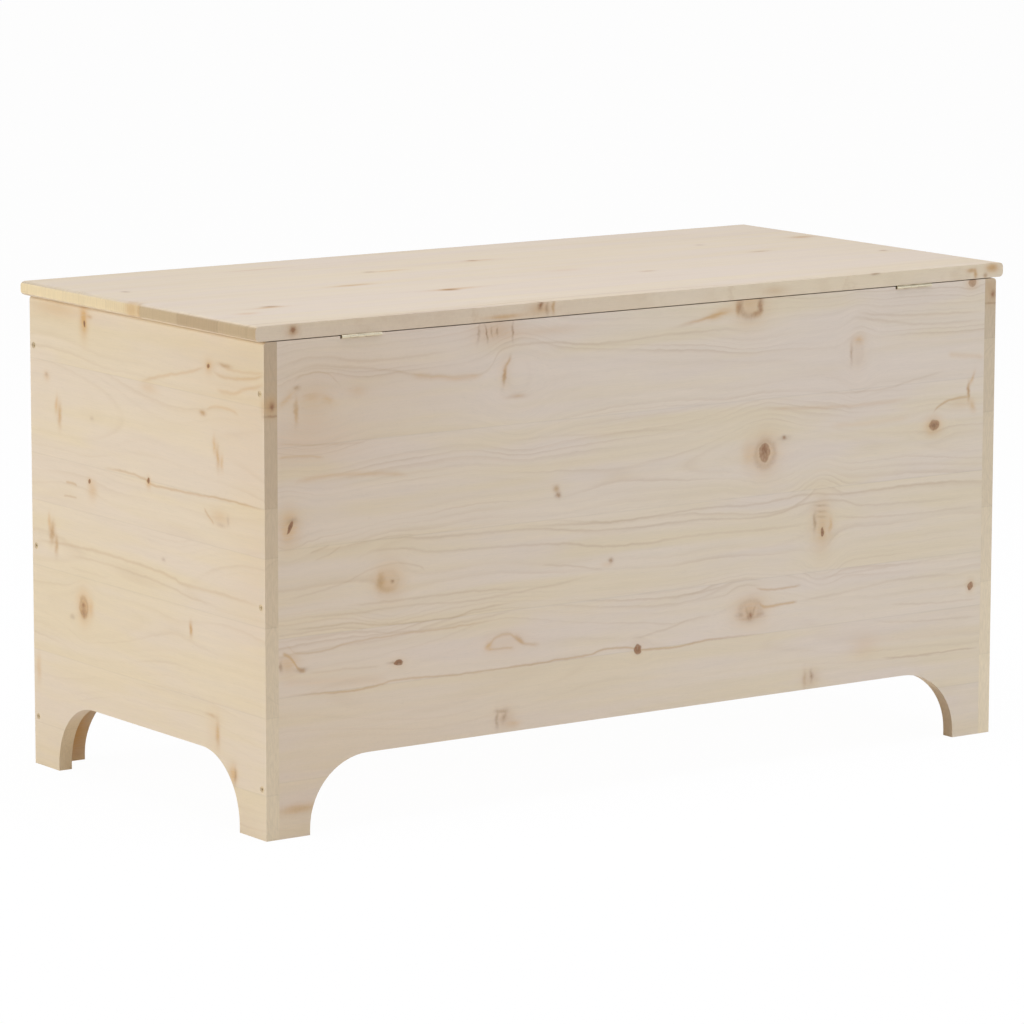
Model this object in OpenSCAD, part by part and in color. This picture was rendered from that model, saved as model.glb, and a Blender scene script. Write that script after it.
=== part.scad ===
// Wooden toy box: a solid pine chest that stands on four arched corners, with a lid on two butt
// hinges and a folding stay at each end of the lid.
// Origin: on the floor, under the middle of the box. +Z is up and +Y is towards the hinges, so the
// front faces -Y. Left and right are as seen from the front. Millimetres.

/* [Box] */
// Width of the box, over its side panels
body_w = 980; // [800:10:1200]
// Depth of the box, front face to rear face
body_d = 476; // [420:2:600]
// Height of the box without its lid
body_h = 523; // [460:1:600]
// Thickness of every board of the box
board_t = 16; // [14:1:20]
// Rounding of the side panels' outer top edges
side_edge_r = 4; // [1:0.5:6]

/* [Feet] */
// Width of a foot on the front and on the back, side panel included
foot_w_long = 54; // [40:1:80]
// Width of a foot on the side panels
foot_w_short = 52; // [40:1:80]
// Height of the arch between two feet
arch_h = 80; // [76:1:100]
// Radius of the arch's two upper corners
arch_r = 73; // [40:1:75]

/* [Lid] */
// Thickness of the lid board
lid_t = 16; // [14:1:20]
// Gap between the box and its lid
lid_gap = 1; // [0.5:0.1:2]
// Overhang of the lid past each side panel
lid_end_over = 10; // [4:1:20]
// Overhang of the lid past the front
lid_front_over = 2; // [0:1:20]
// Rounding of the lid's end and front edges, above and below
lid_edge_r = 5; // [2:0.5:7]
// Angle at which the stays stop the lid
open_max = 100; // [90:1:105]

/* [Lid cleats] */
// Width of the two cleats that keep the lid flat
cleat_w = 40; // [30:5:60]
// Thickness of a cleat
cleat_t = 16; // [12:1:20]
// Length of a cleat
cleat_l = 380; // [300:10:400]
// Distance of each cleat from the middle of the lid
cleat_x = 300; // [200:10:380]

/* [Base] */
// Thickness of the bottom panel
base_t = 12; // [9:1:16]
// Height of the bottom panel's underside above the floor
base_z = 100; // [100:1:140]
// Play between the bottom panel and the panels round it
base_play = 1; // [0.5:0.5:2]
// Width of the battens round the base
batten_w = 16; // [14:1:24]
// Height of the battens
batten_h = 18; // [14:1:19]
// Width of the batten under the middle of the base
middle_batten_w = 40; // [30:2:60]

/* [Hinges] */
// Length of a hinge
hinge_l = 50; // [40:1:70]
// Distance of each hinge's middle from the outside of the box
hinge_inset = 120; // [80:5:200]
// Width of one leaf, from the pin's axis
leaf_w = 14; // [12:0.5:15]
// Thickness of a leaf
leaf_t = 1; // [0.8:0.1:1.2]
// Outer diameter of the knuckles
knuckle_d = 3.6; // [3.4:0.1:3.8]
// Diameter of the hinge pin
hinge_pin_d = 1.8; // [1.6:0.1:1.8]
// Distance from the pin's axis to the outer face of each leaf
leaf_offset = 2; // [1.9:0.05:2.1]
// Distance of the pin's axis behind the rear face of the box
hinge_back = 0.2; // [0.1:0.1:1]

/* [Lid stays] */
// Wall pivot, forwards of the hinge axis
wall_pivot_y = 40; // [36:1:44]
// Wall pivot, below the hinge axis
wall_pivot_z = 130; // [120:5:140]
// Lid pivot, forwards of the hinge axis
lid_pivot_y = 150; // [140:5:160]
// Lid pivot, below the hinge axis
lid_pivot_z = 12; // [11:0.5:14]
// Width of the arms
arm_w = 16; // [14:1:16]
// Thickness of the arms and the brackets
arm_t = 2; // [1.5:0.5:2]
// Play between two layers of the stay
arm_gap = 0.5; // [0.4:0.1:0.6]
// Diameter of the stay's rivets
rivet_d = 5; // [4:0.5:6]

/* [Screws and dowels] */
// Heights of the panel screws above the floor
panel_screw_z = [54, 246, 469];
// Heights of the corner dowels above the floor
dowel_z = [150, 358];
// Diameter of the corner dowels
dowel_d = 8; // [6:1:8]
// Length of the corner dowels
dowel_l = 30; // [24:2:36]

/* [Hidden] */
$fn = 64;
eps = 0.01;

// Box
inner_w = body_w - 2 * board_t;
inner_d = body_d - 2 * board_t;
side_x = inner_w / 2;
rear_y = body_d / 2;
lid_z = body_h + lid_gap;
// A joint between two boards is screwed and dowelled in the middle of the board's thickness
joint_y = rear_y - board_t / 2;

// Base
batten_z = base_z - batten_h;
batten_play = 1;
batten_y = inner_d / 2 - batten_w / 2;
batten_x = side_x - batten_w / 2;
front_batten_l = inner_w - 2 * batten_play;
side_batten_l = inner_d - 2 * batten_w - 2 * batten_play;
batten_screw_x = [-400, -135, 135, 400];
batten_screw_y = [-140, 0, 140];
base_screw_x = [-300, 0, 300];
base_screw_side_y = [-100, 100];
base_screw_middle_y = [-120, 0, 120];

// Lid
lid_w = body_w + 2 * lid_end_over;
lid_d = body_d + lid_front_over;
cleat_screw_y = [-150, 0, 150];
pad_r = 5;
// Middle of the flat that the rounded edge leaves on top of a side panel
pad_x = side_x + (board_t - side_edge_r) / 2;
pad_y = -215;

// Hinges
hinge_x = body_w / 2 - hinge_inset;
axis_y = rear_y + hinge_back;
axis_z = lid_z - leaf_offset;
notch_z = axis_z - leaf_offset;
notch_l = hinge_l + 2;
knuckle_n = 5;
knuckle_l = hinge_l / knuckle_n;
knuckle_gap = 0.2;
knuckle_clear = 0.3;
pin_clear = 0.05;
leaf_screw_x = [-17, 0, 17];
leaf_screw_y = -(hinge_back + board_t / 2);

// Screws: length, shank diameter, head diameter, and the play of their holes
panel_screw = [45, 4, 7];
batten_screw = [28, 3.5, 6.6];
base_screw = [26, 3.5, 6.6];
leaf_screw = [12, 2.6, 4.6];
stay_screw = [14, 3.5, 6.6];
hole_play = 0.1;
panel_screw_sink = 0.4;
batten_screw_sink = 0.5;
screw_point_r = 0.3;
// How much deeper than its screw a hole is
pilot_extra = 0.5;
// Cross recess: its length and its width over the head's diameter, its depth over the head's height
recess_l = 0.6;
recess_w = 0.12;
recess_h = 0.7;
// Part of a dowel that sits in the end of the front or back panel
dowel_in_end = dowel_l * 2 / 3;
dowel_chamfer = 1;

// Stays: each layer's distance from the middle of the box, from the wall inwards
bracket_x = side_x - arm_t;
lower_arm_x = bracket_x - arm_gap - arm_t;
upper_arm_x = lower_arm_x - arm_gap - arm_t;
lid_flange_x = upper_arm_x - arm_gap - arm_t;
// Pivots in the plane of the side panel, [Y, Z]; the four form a parallelogram with the hinge axis
hinge_p = [axis_y, axis_z];
wall_p = hinge_p - [wall_pivot_y, wall_pivot_z];
lid_p = hinge_p - [lid_pivot_y, lid_pivot_z];
elbow_p = wall_p + lid_p - hinge_p;
lower_arm_l = norm(elbow_p - wall_p);
upper_arm_l = norm(lid_p - elbow_p);
lower_arm_a = atan2(elbow_p[1] - wall_p[1], elbow_p[0] - wall_p[0]);
upper_arm_a = atan2(lid_p[1] - elbow_p[1], lid_p[0] - elbow_p[0]);
pivot_clear = 0.05;
// The lid pivot is the one that closes the linkage, so its hole is looser
closing_clear = 0.3;
rivet_head_r = 4.5;
rivet_head_t = 1.4;
rivet_head_chamfer = 0.6;
head_gap = 0.2;
// The stop pin meets the edge of the lower arm when the lid is open as far as it goes
stop_pin_r = 2;
stop_reach = 24;
stop_gap = 0.1;
stop_pin_l = 2 * arm_t + arm_gap - head_gap;
stop_a = lower_arm_a + 180 - open_max;
stop_side = arm_w / 2 + stop_pin_r + stop_gap;
stop_p = elbow_p + [
  stop_reach * cos(stop_a) + stop_side * cos(stop_a - 90),
  stop_reach * sin(stop_a) + stop_side * sin(stop_a - 90)
];
upper_arm_tail = 26;
bracket_w = 20;
bracket_screw_z = 22;
lid_foot_w = 26;
lid_foot_l = 44;
lid_foot_screw_y = 14;
lid_foot_screw_x = lid_flange_x + arm_t - 14;
lid_flange_w = 18;

wood = [0.89, 0.81, 0.69];
wood_inside = [0.86, 0.77, 0.64];
plated = [0.74, 0.72, 0.62];
steel = [0.62, 0.63, 0.65];
felt = [0.45, 0.43, 0.40];

// ---- helpers ----

// Its children, and their mirror image at the other end of the box
module both_ends() {
  children();
  mirror([1, 0, 0]) children();
}

// Children are drawn flat, X becomes Y and Y becomes Z, and they are as thick as t from x on
module upright(x, t) {
  translate([x, 0, 0])
    rotate([90, 0, 90])
      linear_extrude(t) children();
}

// Outline of the opening between two feet, on the floor line
module arch(span) {
  corner_x = span / 2 - arch_r;
  corner_z = arch_h - arch_r;
  for (s = [-1, 1])
    translate([s * corner_x, corner_z]) circle(arch_r, $fn = 128);
  translate([-corner_x, corner_z]) square([2 * corner_x, arch_r]);
  translate([-span / 2, -1]) square([span, corner_z + 1]);
}

// Outline of an upright board with the opening between its feet
module footed_board(w, span) {
  difference() {
    translate([-w / 2, 0]) square([w, body_h]);
    arch(span);
  }
}

// Rectangle with corners of radius r, rounded at its right end and, if both is true, at its left
module rounded_bar(w, h, r, both) {
  left = both ? r : 0;
  translate([left, 0]) square([w - r - left, h]);
  for (x = both ? [r, w - r] : [w - r])
    for (y = [r, h - r])
      translate([x, y]) circle(r);
  translate([w - r, r]) square([r, h - 2 * r]);
  if (both)
    translate([0, r]) square([r, h - 2 * r]);
}

// Straight bar with round ends between two points on the X axis
module slot_bar(from, to, w) {
  for (x = [from, to])
    translate([x, 0]) circle(w / 2);
  translate([from, -w / 2]) square([to - from, w]);
}

// Countersunk wood screw with a cross recess: the head is flush at z = 0 and the point is at -length
module wood_screw(size) {
  shank_r = size[1] / 2;
  head_r = size[2] / 2;
  head_h = head_r - shank_r;
  tip = 2 * shank_r;
  difference() {
    union() {
      translate([0, 0, -head_h]) cylinder(r1 = shank_r, r2 = head_r, h = head_h);
      translate([0, 0, tip - size[0]]) cylinder(r = shank_r, h = size[0] - tip - head_h / 2);
      translate([0, 0, -size[0]]) cylinder(r1 = screw_point_r, r2 = shank_r, h = tip);
    }
    for (a = [0, 90])
      rotate([0, 0, a])
        translate([-head_r * recess_l, -head_r * recess_w, -head_h * recess_h])
          cube([size[2] * recess_l, size[2] * recess_w, head_h]);
  }
}

// Hole for that screw, with its countersink, and sunk by the given depth
module screw_hole(size, sink = 0) {
  shank_r = (size[1] + hole_play) / 2;
  head_r = (size[2] + hole_play) / 2;
  head_h = head_r - shank_r;
  translate([0, 0, -size[0] - pilot_extra]) cylinder(r = shank_r, h = size[0]);
  translate([0, 0, -head_h]) cylinder(r1 = shank_r, r2 = head_r, h = head_h);
  translate([0, 0, -eps]) cylinder(r = head_r, h = sink + 1);
}

// ---- places of the fasteners; the children point down from z = 0 ----

module at_panel_screws() {
  for (y = [-joint_y, joint_y])
    for (z = panel_screw_z)
      translate([body_w / 2 - panel_screw_sink, y, z]) rotate([0, 90, 0]) children();
}

module at_dowels() {
  for (y = [-joint_y, joint_y])
    for (z = dowel_z)
      translate([side_x - dowel_in_end, y, z]) rotate([0, 90, 0]) children();
}

module at_batten_screws() {
  for (x = batten_screw_x)
    for (side = [0, 180])
      rotate([0, 0, side])
        translate([x, batten_y - batten_w / 2 + batten_screw_sink, base_z - batten_h / 2])
          rotate([90, 0, 0]) children();
  for (y = batten_screw_y)
    for (side = [0, 180])
      rotate([0, 0, side])
        translate([batten_x - batten_w / 2 + batten_screw_sink, y, base_z - batten_h / 2])
          rotate([0, -90, 0]) children();
}

module at_base_screws() {
  z = batten_z + batten_screw_sink;
  for (x = base_screw_x)
    for (y = [-batten_y, batten_y])
      translate([x, y, z]) rotate([180, 0, 0]) children();
  for (x = [-batten_x, batten_x])
    for (y = base_screw_side_y)
      translate([x, y, z]) rotate([180, 0, 0]) children();
  for (y = base_screw_middle_y)
    translate([0, y, z]) rotate([180, 0, 0]) children();
}

module at_cleat_screws() {
  for (x = [-cleat_x, cleat_x])
    for (y = cleat_screw_y)
      translate([x, y, lid_z - cleat_t + batten_screw_sink]) rotate([180, 0, 0]) children();
}

module at_box_leaf_screws() {
  for (s = [-1, 1])
    for (x = leaf_screw_x)
      translate([s * hinge_x + x, axis_y + leaf_screw_y, notch_z + leaf_t]) children();
}

module at_lid_leaf_screws() {
  for (s = [-1, 1])
    for (x = leaf_screw_x)
      translate([s * hinge_x + x, axis_y + leaf_screw_y, lid_z - leaf_t])
        rotate([180, 0, 0]) children();
}

module at_wall_bracket_screws() {
  for (z = [-bracket_screw_z, bracket_screw_z])
    translate([bracket_x, wall_p[0], wall_p[1] + z]) rotate([0, -90, 0]) children();
}

module at_lid_bracket_screws() {
  for (y = [-lid_foot_screw_y, lid_foot_screw_y])
    translate([lid_foot_screw_x, lid_p[0] + y, lid_z - arm_t]) rotate([180, 0, 0]) children();
}

// ---- box ----

// Right side panel; the left one is its mirror image
module side_panel() {
  color(wood)
    difference() {
      upright(side_x, board_t) footed_board(body_d, body_d - 2 * foot_w_short);
      // Rounding of the outer top edge
      difference() {
        translate([body_w / 2 - side_edge_r, -rear_y - 1, body_h - side_edge_r])
          cube([side_edge_r + 1, body_d + 2, side_edge_r + 1]);
        translate([body_w / 2 - side_edge_r, rear_y + 2, body_h - side_edge_r])
          rotate([90, 0, 0]) cylinder(r = side_edge_r, h = body_d + 4);
      }
      at_panel_screws() screw_hole(panel_screw, panel_screw_sink);
      at_dowels() cylinder(r = (dowel_d + hole_play) / 2, h = dowel_l + pilot_extra);
      at_wall_bracket_screws() screw_hole(stay_screw);
      at_batten_screws() screw_hole(batten_screw);
    }
}

module side_panel_right() {
  side_panel();
}

module side_panel_left() {
  mirror([1, 0, 0]) side_panel();
}

// Board between the side panels, with its outer face at -Y
module long_panel() {
  difference() {
    translate([0, -rear_y + board_t, 0])
      rotate([90, 0, 0])
        linear_extrude(board_t) footed_board(inner_w, body_w - 2 * foot_w_long);
    both_ends() {
      at_panel_screws() screw_hole(panel_screw);
      at_dowels()
        translate([0, 0, -pilot_extra]) cylinder(r = (dowel_d + hole_play) / 2, h = dowel_l);
    }
    at_batten_screws() screw_hole(batten_screw);
  }
}

module front_panel() {
  color(wood) long_panel();
}

module back_panel() {
  color(wood)
    difference() {
      rotate([0, 0, 180]) long_panel();
      for (s = [-1, 1])
        translate([s * hinge_x - notch_l / 2, rear_y - board_t - 1, notch_z])
          cube([notch_l, board_t + 2, body_h]);
      at_box_leaf_screws() screw_hole(leaf_screw);
    }
}

module bottom_panel() {
  w = inner_w - 2 * base_play;
  d = inner_d - 2 * base_play;
  color(wood_inside)
    difference() {
      translate([-w / 2, -d / 2, base_z]) cube([w, d, base_t]);
      at_base_screws() screw_hole(base_screw);
    }
}

// Batten along X, at the front
module long_batten() {
  difference() {
    translate([-front_batten_l / 2, -batten_y - batten_w / 2, batten_z])
      cube([front_batten_l, batten_w, batten_h]);
    at_batten_screws() screw_hole(batten_screw, batten_screw_sink);
    at_base_screws() screw_hole(base_screw, batten_screw_sink);
  }
}

module batten_front() {
  color(wood_inside) long_batten();
}

module batten_back() {
  color(wood_inside) mirror([0, 1, 0]) long_batten();
}

// Batten along Y, at the right
module side_batten() {
  difference() {
    translate([batten_x - batten_w / 2, -side_batten_l / 2, batten_z])
      cube([batten_w, side_batten_l, batten_h]);
    at_batten_screws() screw_hole(batten_screw, batten_screw_sink);
    at_base_screws() screw_hole(base_screw, batten_screw_sink);
  }
}

module batten_right() {
  color(wood_inside) side_batten();
}

module batten_left() {
  color(wood_inside) mirror([1, 0, 0]) side_batten();
}

module batten_middle() {
  color(wood_inside)
    difference() {
      translate([-middle_batten_w / 2, -side_batten_l / 2, batten_z])
        cube([middle_batten_w, side_batten_l, batten_h]);
      at_base_screws() screw_hole(base_screw, batten_screw_sink);
    }
}

// Dowel with chamfered ends
module dowel() {
  r = dowel_d / 2;
  end_r = r - dowel_chamfer;
  cylinder(r1 = end_r, r2 = r, h = dowel_chamfer);
  translate([0, 0, dowel_chamfer]) cylinder(r = r, h = dowel_l - 2 * dowel_chamfer);
  translate([0, 0, dowel_l - dowel_chamfer]) cylinder(r1 = r, r2 = end_r, h = dowel_chamfer);
}

module corner_dowels() {
  color(wood_inside)
    both_ends() at_dowels() dowel();
}

module panel_screws_right() {
  color(steel) at_panel_screws() wood_screw(panel_screw);
}

module panel_screws_left() {
  color(steel) mirror([1, 0, 0]) at_panel_screws() wood_screw(panel_screw);
}

module batten_screws() {
  color(steel) at_batten_screws() wood_screw(batten_screw);
}

module base_screws() {
  color(steel) at_base_screws() wood_screw(base_screw);
}

// Felt discs on the box's front corners, which the closed lid rests on
module lid_pads() {
  color(felt)
    both_ends() translate([pad_x, pad_y, body_h]) cylinder(r = pad_r, h = lid_gap);
}

// ---- lid ----

module lid_panel() {
  color(wood)
    difference() {
      intersection() {
        translate([-lid_w / 2, rear_y, lid_z])
          rotate([90, 0, 0]) linear_extrude(lid_d) rounded_bar(lid_w, lid_t, lid_edge_r, true);
        translate([lid_w / 2, rear_y, lid_z])
          rotate([90, 0, -90]) linear_extrude(lid_w) rounded_bar(lid_d, lid_t, lid_edge_r, false);
      }
      at_cleat_screws() screw_hole(base_screw);
      at_lid_leaf_screws() screw_hole(leaf_screw);
      both_ends() at_lid_bracket_screws() screw_hole(stay_screw);
    }
}

module lid_cleat() {
  color(wood_inside)
    difference() {
      translate([cleat_x - cleat_w / 2, -cleat_l / 2, lid_z - cleat_t])
        cube([cleat_w, cleat_l, cleat_t]);
      at_cleat_screws() screw_hole(base_screw, batten_screw_sink);
    }
}

module lid_cleat_right() {
  lid_cleat();
}

module lid_cleat_left() {
  mirror([1, 0, 0]) lid_cleat();
}

module cleat_screws() {
  color(steel) at_cleat_screws() wood_screw(base_screw);
}

// ---- hinges, drawn round the pin's axis ----

// Leaf below the axis. Its knuckles are first, first + 2, and so on; the others are the other leaf's
module hinge_leaf(first) {
  difference() {
    union() {
      translate([-hinge_l / 2, -leaf_w, -leaf_offset]) cube([hinge_l, leaf_w, leaf_t]);
      for (i = [first : 2 : knuckle_n - 1])
        translate([-hinge_l / 2 + i * knuckle_l + knuckle_gap / 2, 0, 0])
          rotate([0, 90, 0]) cylinder(r = knuckle_d / 2, h = knuckle_l - knuckle_gap);
    }
    translate([-hinge_l / 2 - 1, 0, 0])
      rotate([0, 90, 0]) cylinder(r = hinge_pin_d / 2 + pin_clear, h = hinge_l + 2);
    for (i = [1 - first : 2 : knuckle_n - 1])
      translate([-hinge_l / 2 + i * knuckle_l - knuckle_gap / 2,
                 -knuckle_d / 2 - knuckle_clear, -leaf_offset - 1])
        cube([knuckle_l + knuckle_gap, knuckle_d + 2, leaf_t + 2]);
    for (x = leaf_screw_x)
      translate([x, leaf_screw_y, leaf_t - leaf_offset]) screw_hole(leaf_screw);
  }
}

module box_leaf(s) {
  color(plated) translate([s * hinge_x, axis_y, axis_z]) hinge_leaf(0);
}

module lid_leaf(s) {
  color(plated) translate([s * hinge_x, axis_y, axis_z]) mirror([0, 0, 1]) hinge_leaf(1);
}

module hinge_pin(s) {
  color(plated)
    translate([s * hinge_x - hinge_l / 2, axis_y, axis_z])
      rotate([0, 90, 0]) cylinder(r = hinge_pin_d / 2, h = hinge_l);
}

module hinge_screws_box() {
  color(plated) at_box_leaf_screws() wood_screw(leaf_screw);
}

module hinge_screws_lid() {
  color(plated) at_lid_leaf_screws() wood_screw(leaf_screw);
}

// ---- lid stays, drawn at the right end; the left ones are their mirror image ----

// Children are drawn along X from the pivot p, then turned by angle a in the plane of the side panel
module stay_part(x, p, a) {
  translate([x, p[0], p[1]]) rotate([90, 0, 90]) rotate([0, 0, a]) children();
}

module pivot_hole(x, clear) {
  translate([x, 0, -1]) cylinder(r = rivet_d / 2 + clear, h = arm_t + 2);
}

// Plate screwed to the side panel
module wall_bracket() {
  color(steel)
    difference() {
      stay_part(bracket_x, wall_p, 90)
        difference() {
          linear_extrude(arm_t) slot_bar(-bracket_screw_z, bracket_screw_z, bracket_w);
          pivot_hole(0, pivot_clear);
        }
      at_wall_bracket_screws() screw_hole(stay_screw);
    }
}

module lower_arm() {
  color(steel)
    stay_part(lower_arm_x, wall_p, lower_arm_a)
      difference() {
        linear_extrude(arm_t) slot_bar(0, lower_arm_l, arm_w);
        pivot_hole(0, pivot_clear);
        pivot_hole(lower_arm_l, pivot_clear);
      }
}

module upper_arm() {
  color(steel) {
    stay_part(upper_arm_x, elbow_p, upper_arm_a)
      difference() {
        linear_extrude(arm_t) slot_bar(-upper_arm_tail, upper_arm_l, arm_w);
        pivot_hole(0, pivot_clear);
        pivot_hole(upper_arm_l, closing_clear);
      }
    stay_part(upper_arm_x, stop_p, 0) cylinder(r = stop_pin_r, h = stop_pin_l);
  }
}

// Angle plate screwed under the lid
module lid_bracket() {
  foot_x = lid_flange_x + arm_t - lid_foot_w;
  color(steel)
    difference() {
      union() {
        stay_part(lid_flange_x, lid_p, 90) {
          linear_extrude(arm_t) {
            circle(lid_flange_w / 2);
            translate([0, -lid_flange_w / 2]) square([lid_z - lid_p[1], lid_flange_w]);
          }
        }
        translate([foot_x, lid_p[0] - lid_foot_l / 2, lid_z - arm_t])
          cube([lid_foot_w, lid_foot_l, arm_t]);
      }
      stay_part(lid_flange_x, lid_p, 90) pivot_hole(0, pivot_clear);
      at_lid_bracket_screws() screw_hole(stay_screw);
    }
}

// Rivet from x_low to x_high, with a head at one end or at both
module rivet(p, x_low, x_high, low_head, high_head) {
  stay_part(x_low, p, 0) cylinder(r = rivet_d / 2, h = x_high - x_low);
  if (low_head)
    stay_part(x_low - rivet_head_t, p, 0)
      cylinder(r1 = rivet_head_r - rivet_head_chamfer, r2 = rivet_head_r, h = rivet_head_t);
  if (high_head)
    stay_part(x_high, p, 0)
      cylinder(r1 = rivet_head_r, r2 = rivet_head_r - rivet_head_chamfer, h = rivet_head_t);
}

module wall_rivet() {
  color(steel) rivet(wall_p, lower_arm_x - head_gap, side_x, true, false);
}

module elbow_rivet() {
  color(steel) rivet(elbow_p, upper_arm_x - head_gap, lower_arm_x + arm_t + head_gap, true, true);
}

module lid_rivet() {
  color(steel) rivet(lid_p, lid_flange_x - head_gap, upper_arm_x + arm_t + head_gap, true, true);
}

module stay_screws_wall() {
  color(steel) both_ends() at_wall_bracket_screws() wood_screw(stay_screw);
}

module stay_screws_lid() {
  color(steel) both_ends() at_lid_bracket_screws() wood_screw(stay_screw);
}

module left() {
  mirror([1, 0, 0]) children();
}

// ---- the toy box ----

side_panel_left();
side_panel_right();
front_panel();
back_panel();
bottom_panel();
batten_front();
batten_back();
batten_left();
batten_right();
batten_middle();
corner_dowels();
panel_screws_left();
panel_screws_right();
batten_screws();
base_screws();
lid_pads();
lid_panel();
lid_cleat_left();
lid_cleat_right();
cleat_screws();
box_leaf(-1);  // hinge_left_box_leaf
lid_leaf(-1);  // hinge_left_lid_leaf
hinge_pin(-1);  // hinge_left_pin
box_leaf(1);  // hinge_right_box_leaf
lid_leaf(1);  // hinge_right_lid_leaf
hinge_pin(1);  // hinge_right_pin
hinge_screws_box();
hinge_screws_lid();
left() wall_bracket();  // stay_left_wall_bracket
left() wall_rivet();  // stay_left_wall_rivet
left() lower_arm();  // stay_left_lower_arm
left() elbow_rivet();  // stay_left_elbow_rivet
left() upper_arm();  // stay_left_upper_arm
left() lid_rivet();  // stay_left_lid_rivet
left() lid_bracket();  // stay_left_lid_bracket
wall_bracket();  // stay_right_wall_bracket
wall_rivet();  // stay_right_wall_rivet
lower_arm();  // stay_right_lower_arm
elbow_rivet();  // stay_right_elbow_rivet
upper_arm();  // stay_right_upper_arm
lid_rivet();  // stay_right_lid_rivet
lid_bracket();  // stay_right_lid_bracket
stay_screws_wall();
stay_screws_lid();
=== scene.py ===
"""Looks of the wooden toy box: pine boards with grain and knots, plated hinges, steel stays.

Metres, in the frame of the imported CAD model. +Z is up and +Y is towards the hinges.
"""

import math
import random
from dataclasses import dataclass, field

import bmesh
import bpy
from mathutils import Matrix, Vector


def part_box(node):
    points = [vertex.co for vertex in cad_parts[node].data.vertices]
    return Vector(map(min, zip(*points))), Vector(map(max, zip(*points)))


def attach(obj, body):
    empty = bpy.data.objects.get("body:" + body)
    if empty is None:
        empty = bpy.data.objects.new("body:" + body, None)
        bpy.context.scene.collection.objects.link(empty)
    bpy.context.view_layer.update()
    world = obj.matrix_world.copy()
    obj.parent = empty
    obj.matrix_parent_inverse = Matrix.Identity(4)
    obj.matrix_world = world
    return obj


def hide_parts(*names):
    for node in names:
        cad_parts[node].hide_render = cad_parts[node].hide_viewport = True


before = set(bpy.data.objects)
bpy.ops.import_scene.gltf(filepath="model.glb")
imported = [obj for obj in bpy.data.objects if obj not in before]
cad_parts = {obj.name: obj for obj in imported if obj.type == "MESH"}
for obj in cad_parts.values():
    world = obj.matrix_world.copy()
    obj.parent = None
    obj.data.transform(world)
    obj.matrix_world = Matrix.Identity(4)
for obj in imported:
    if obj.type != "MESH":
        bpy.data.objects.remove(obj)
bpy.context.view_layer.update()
MM = 0.001


def srgb(red, green, blue):
    """Linear colour of a display colour given from 0 to 255."""
    linear = []
    for value in (red, green, blue):
        c = value / 255
        linear.append(c / 12.92 if c <= 0.04045 else ((c + 0.055) / 1.055) ** 2.4)
    return (*linear, 1.0)


# ---- node building ----


# Added to whole seeds, so that none of them is 0
SEED_OFFSET = 0.37


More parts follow.
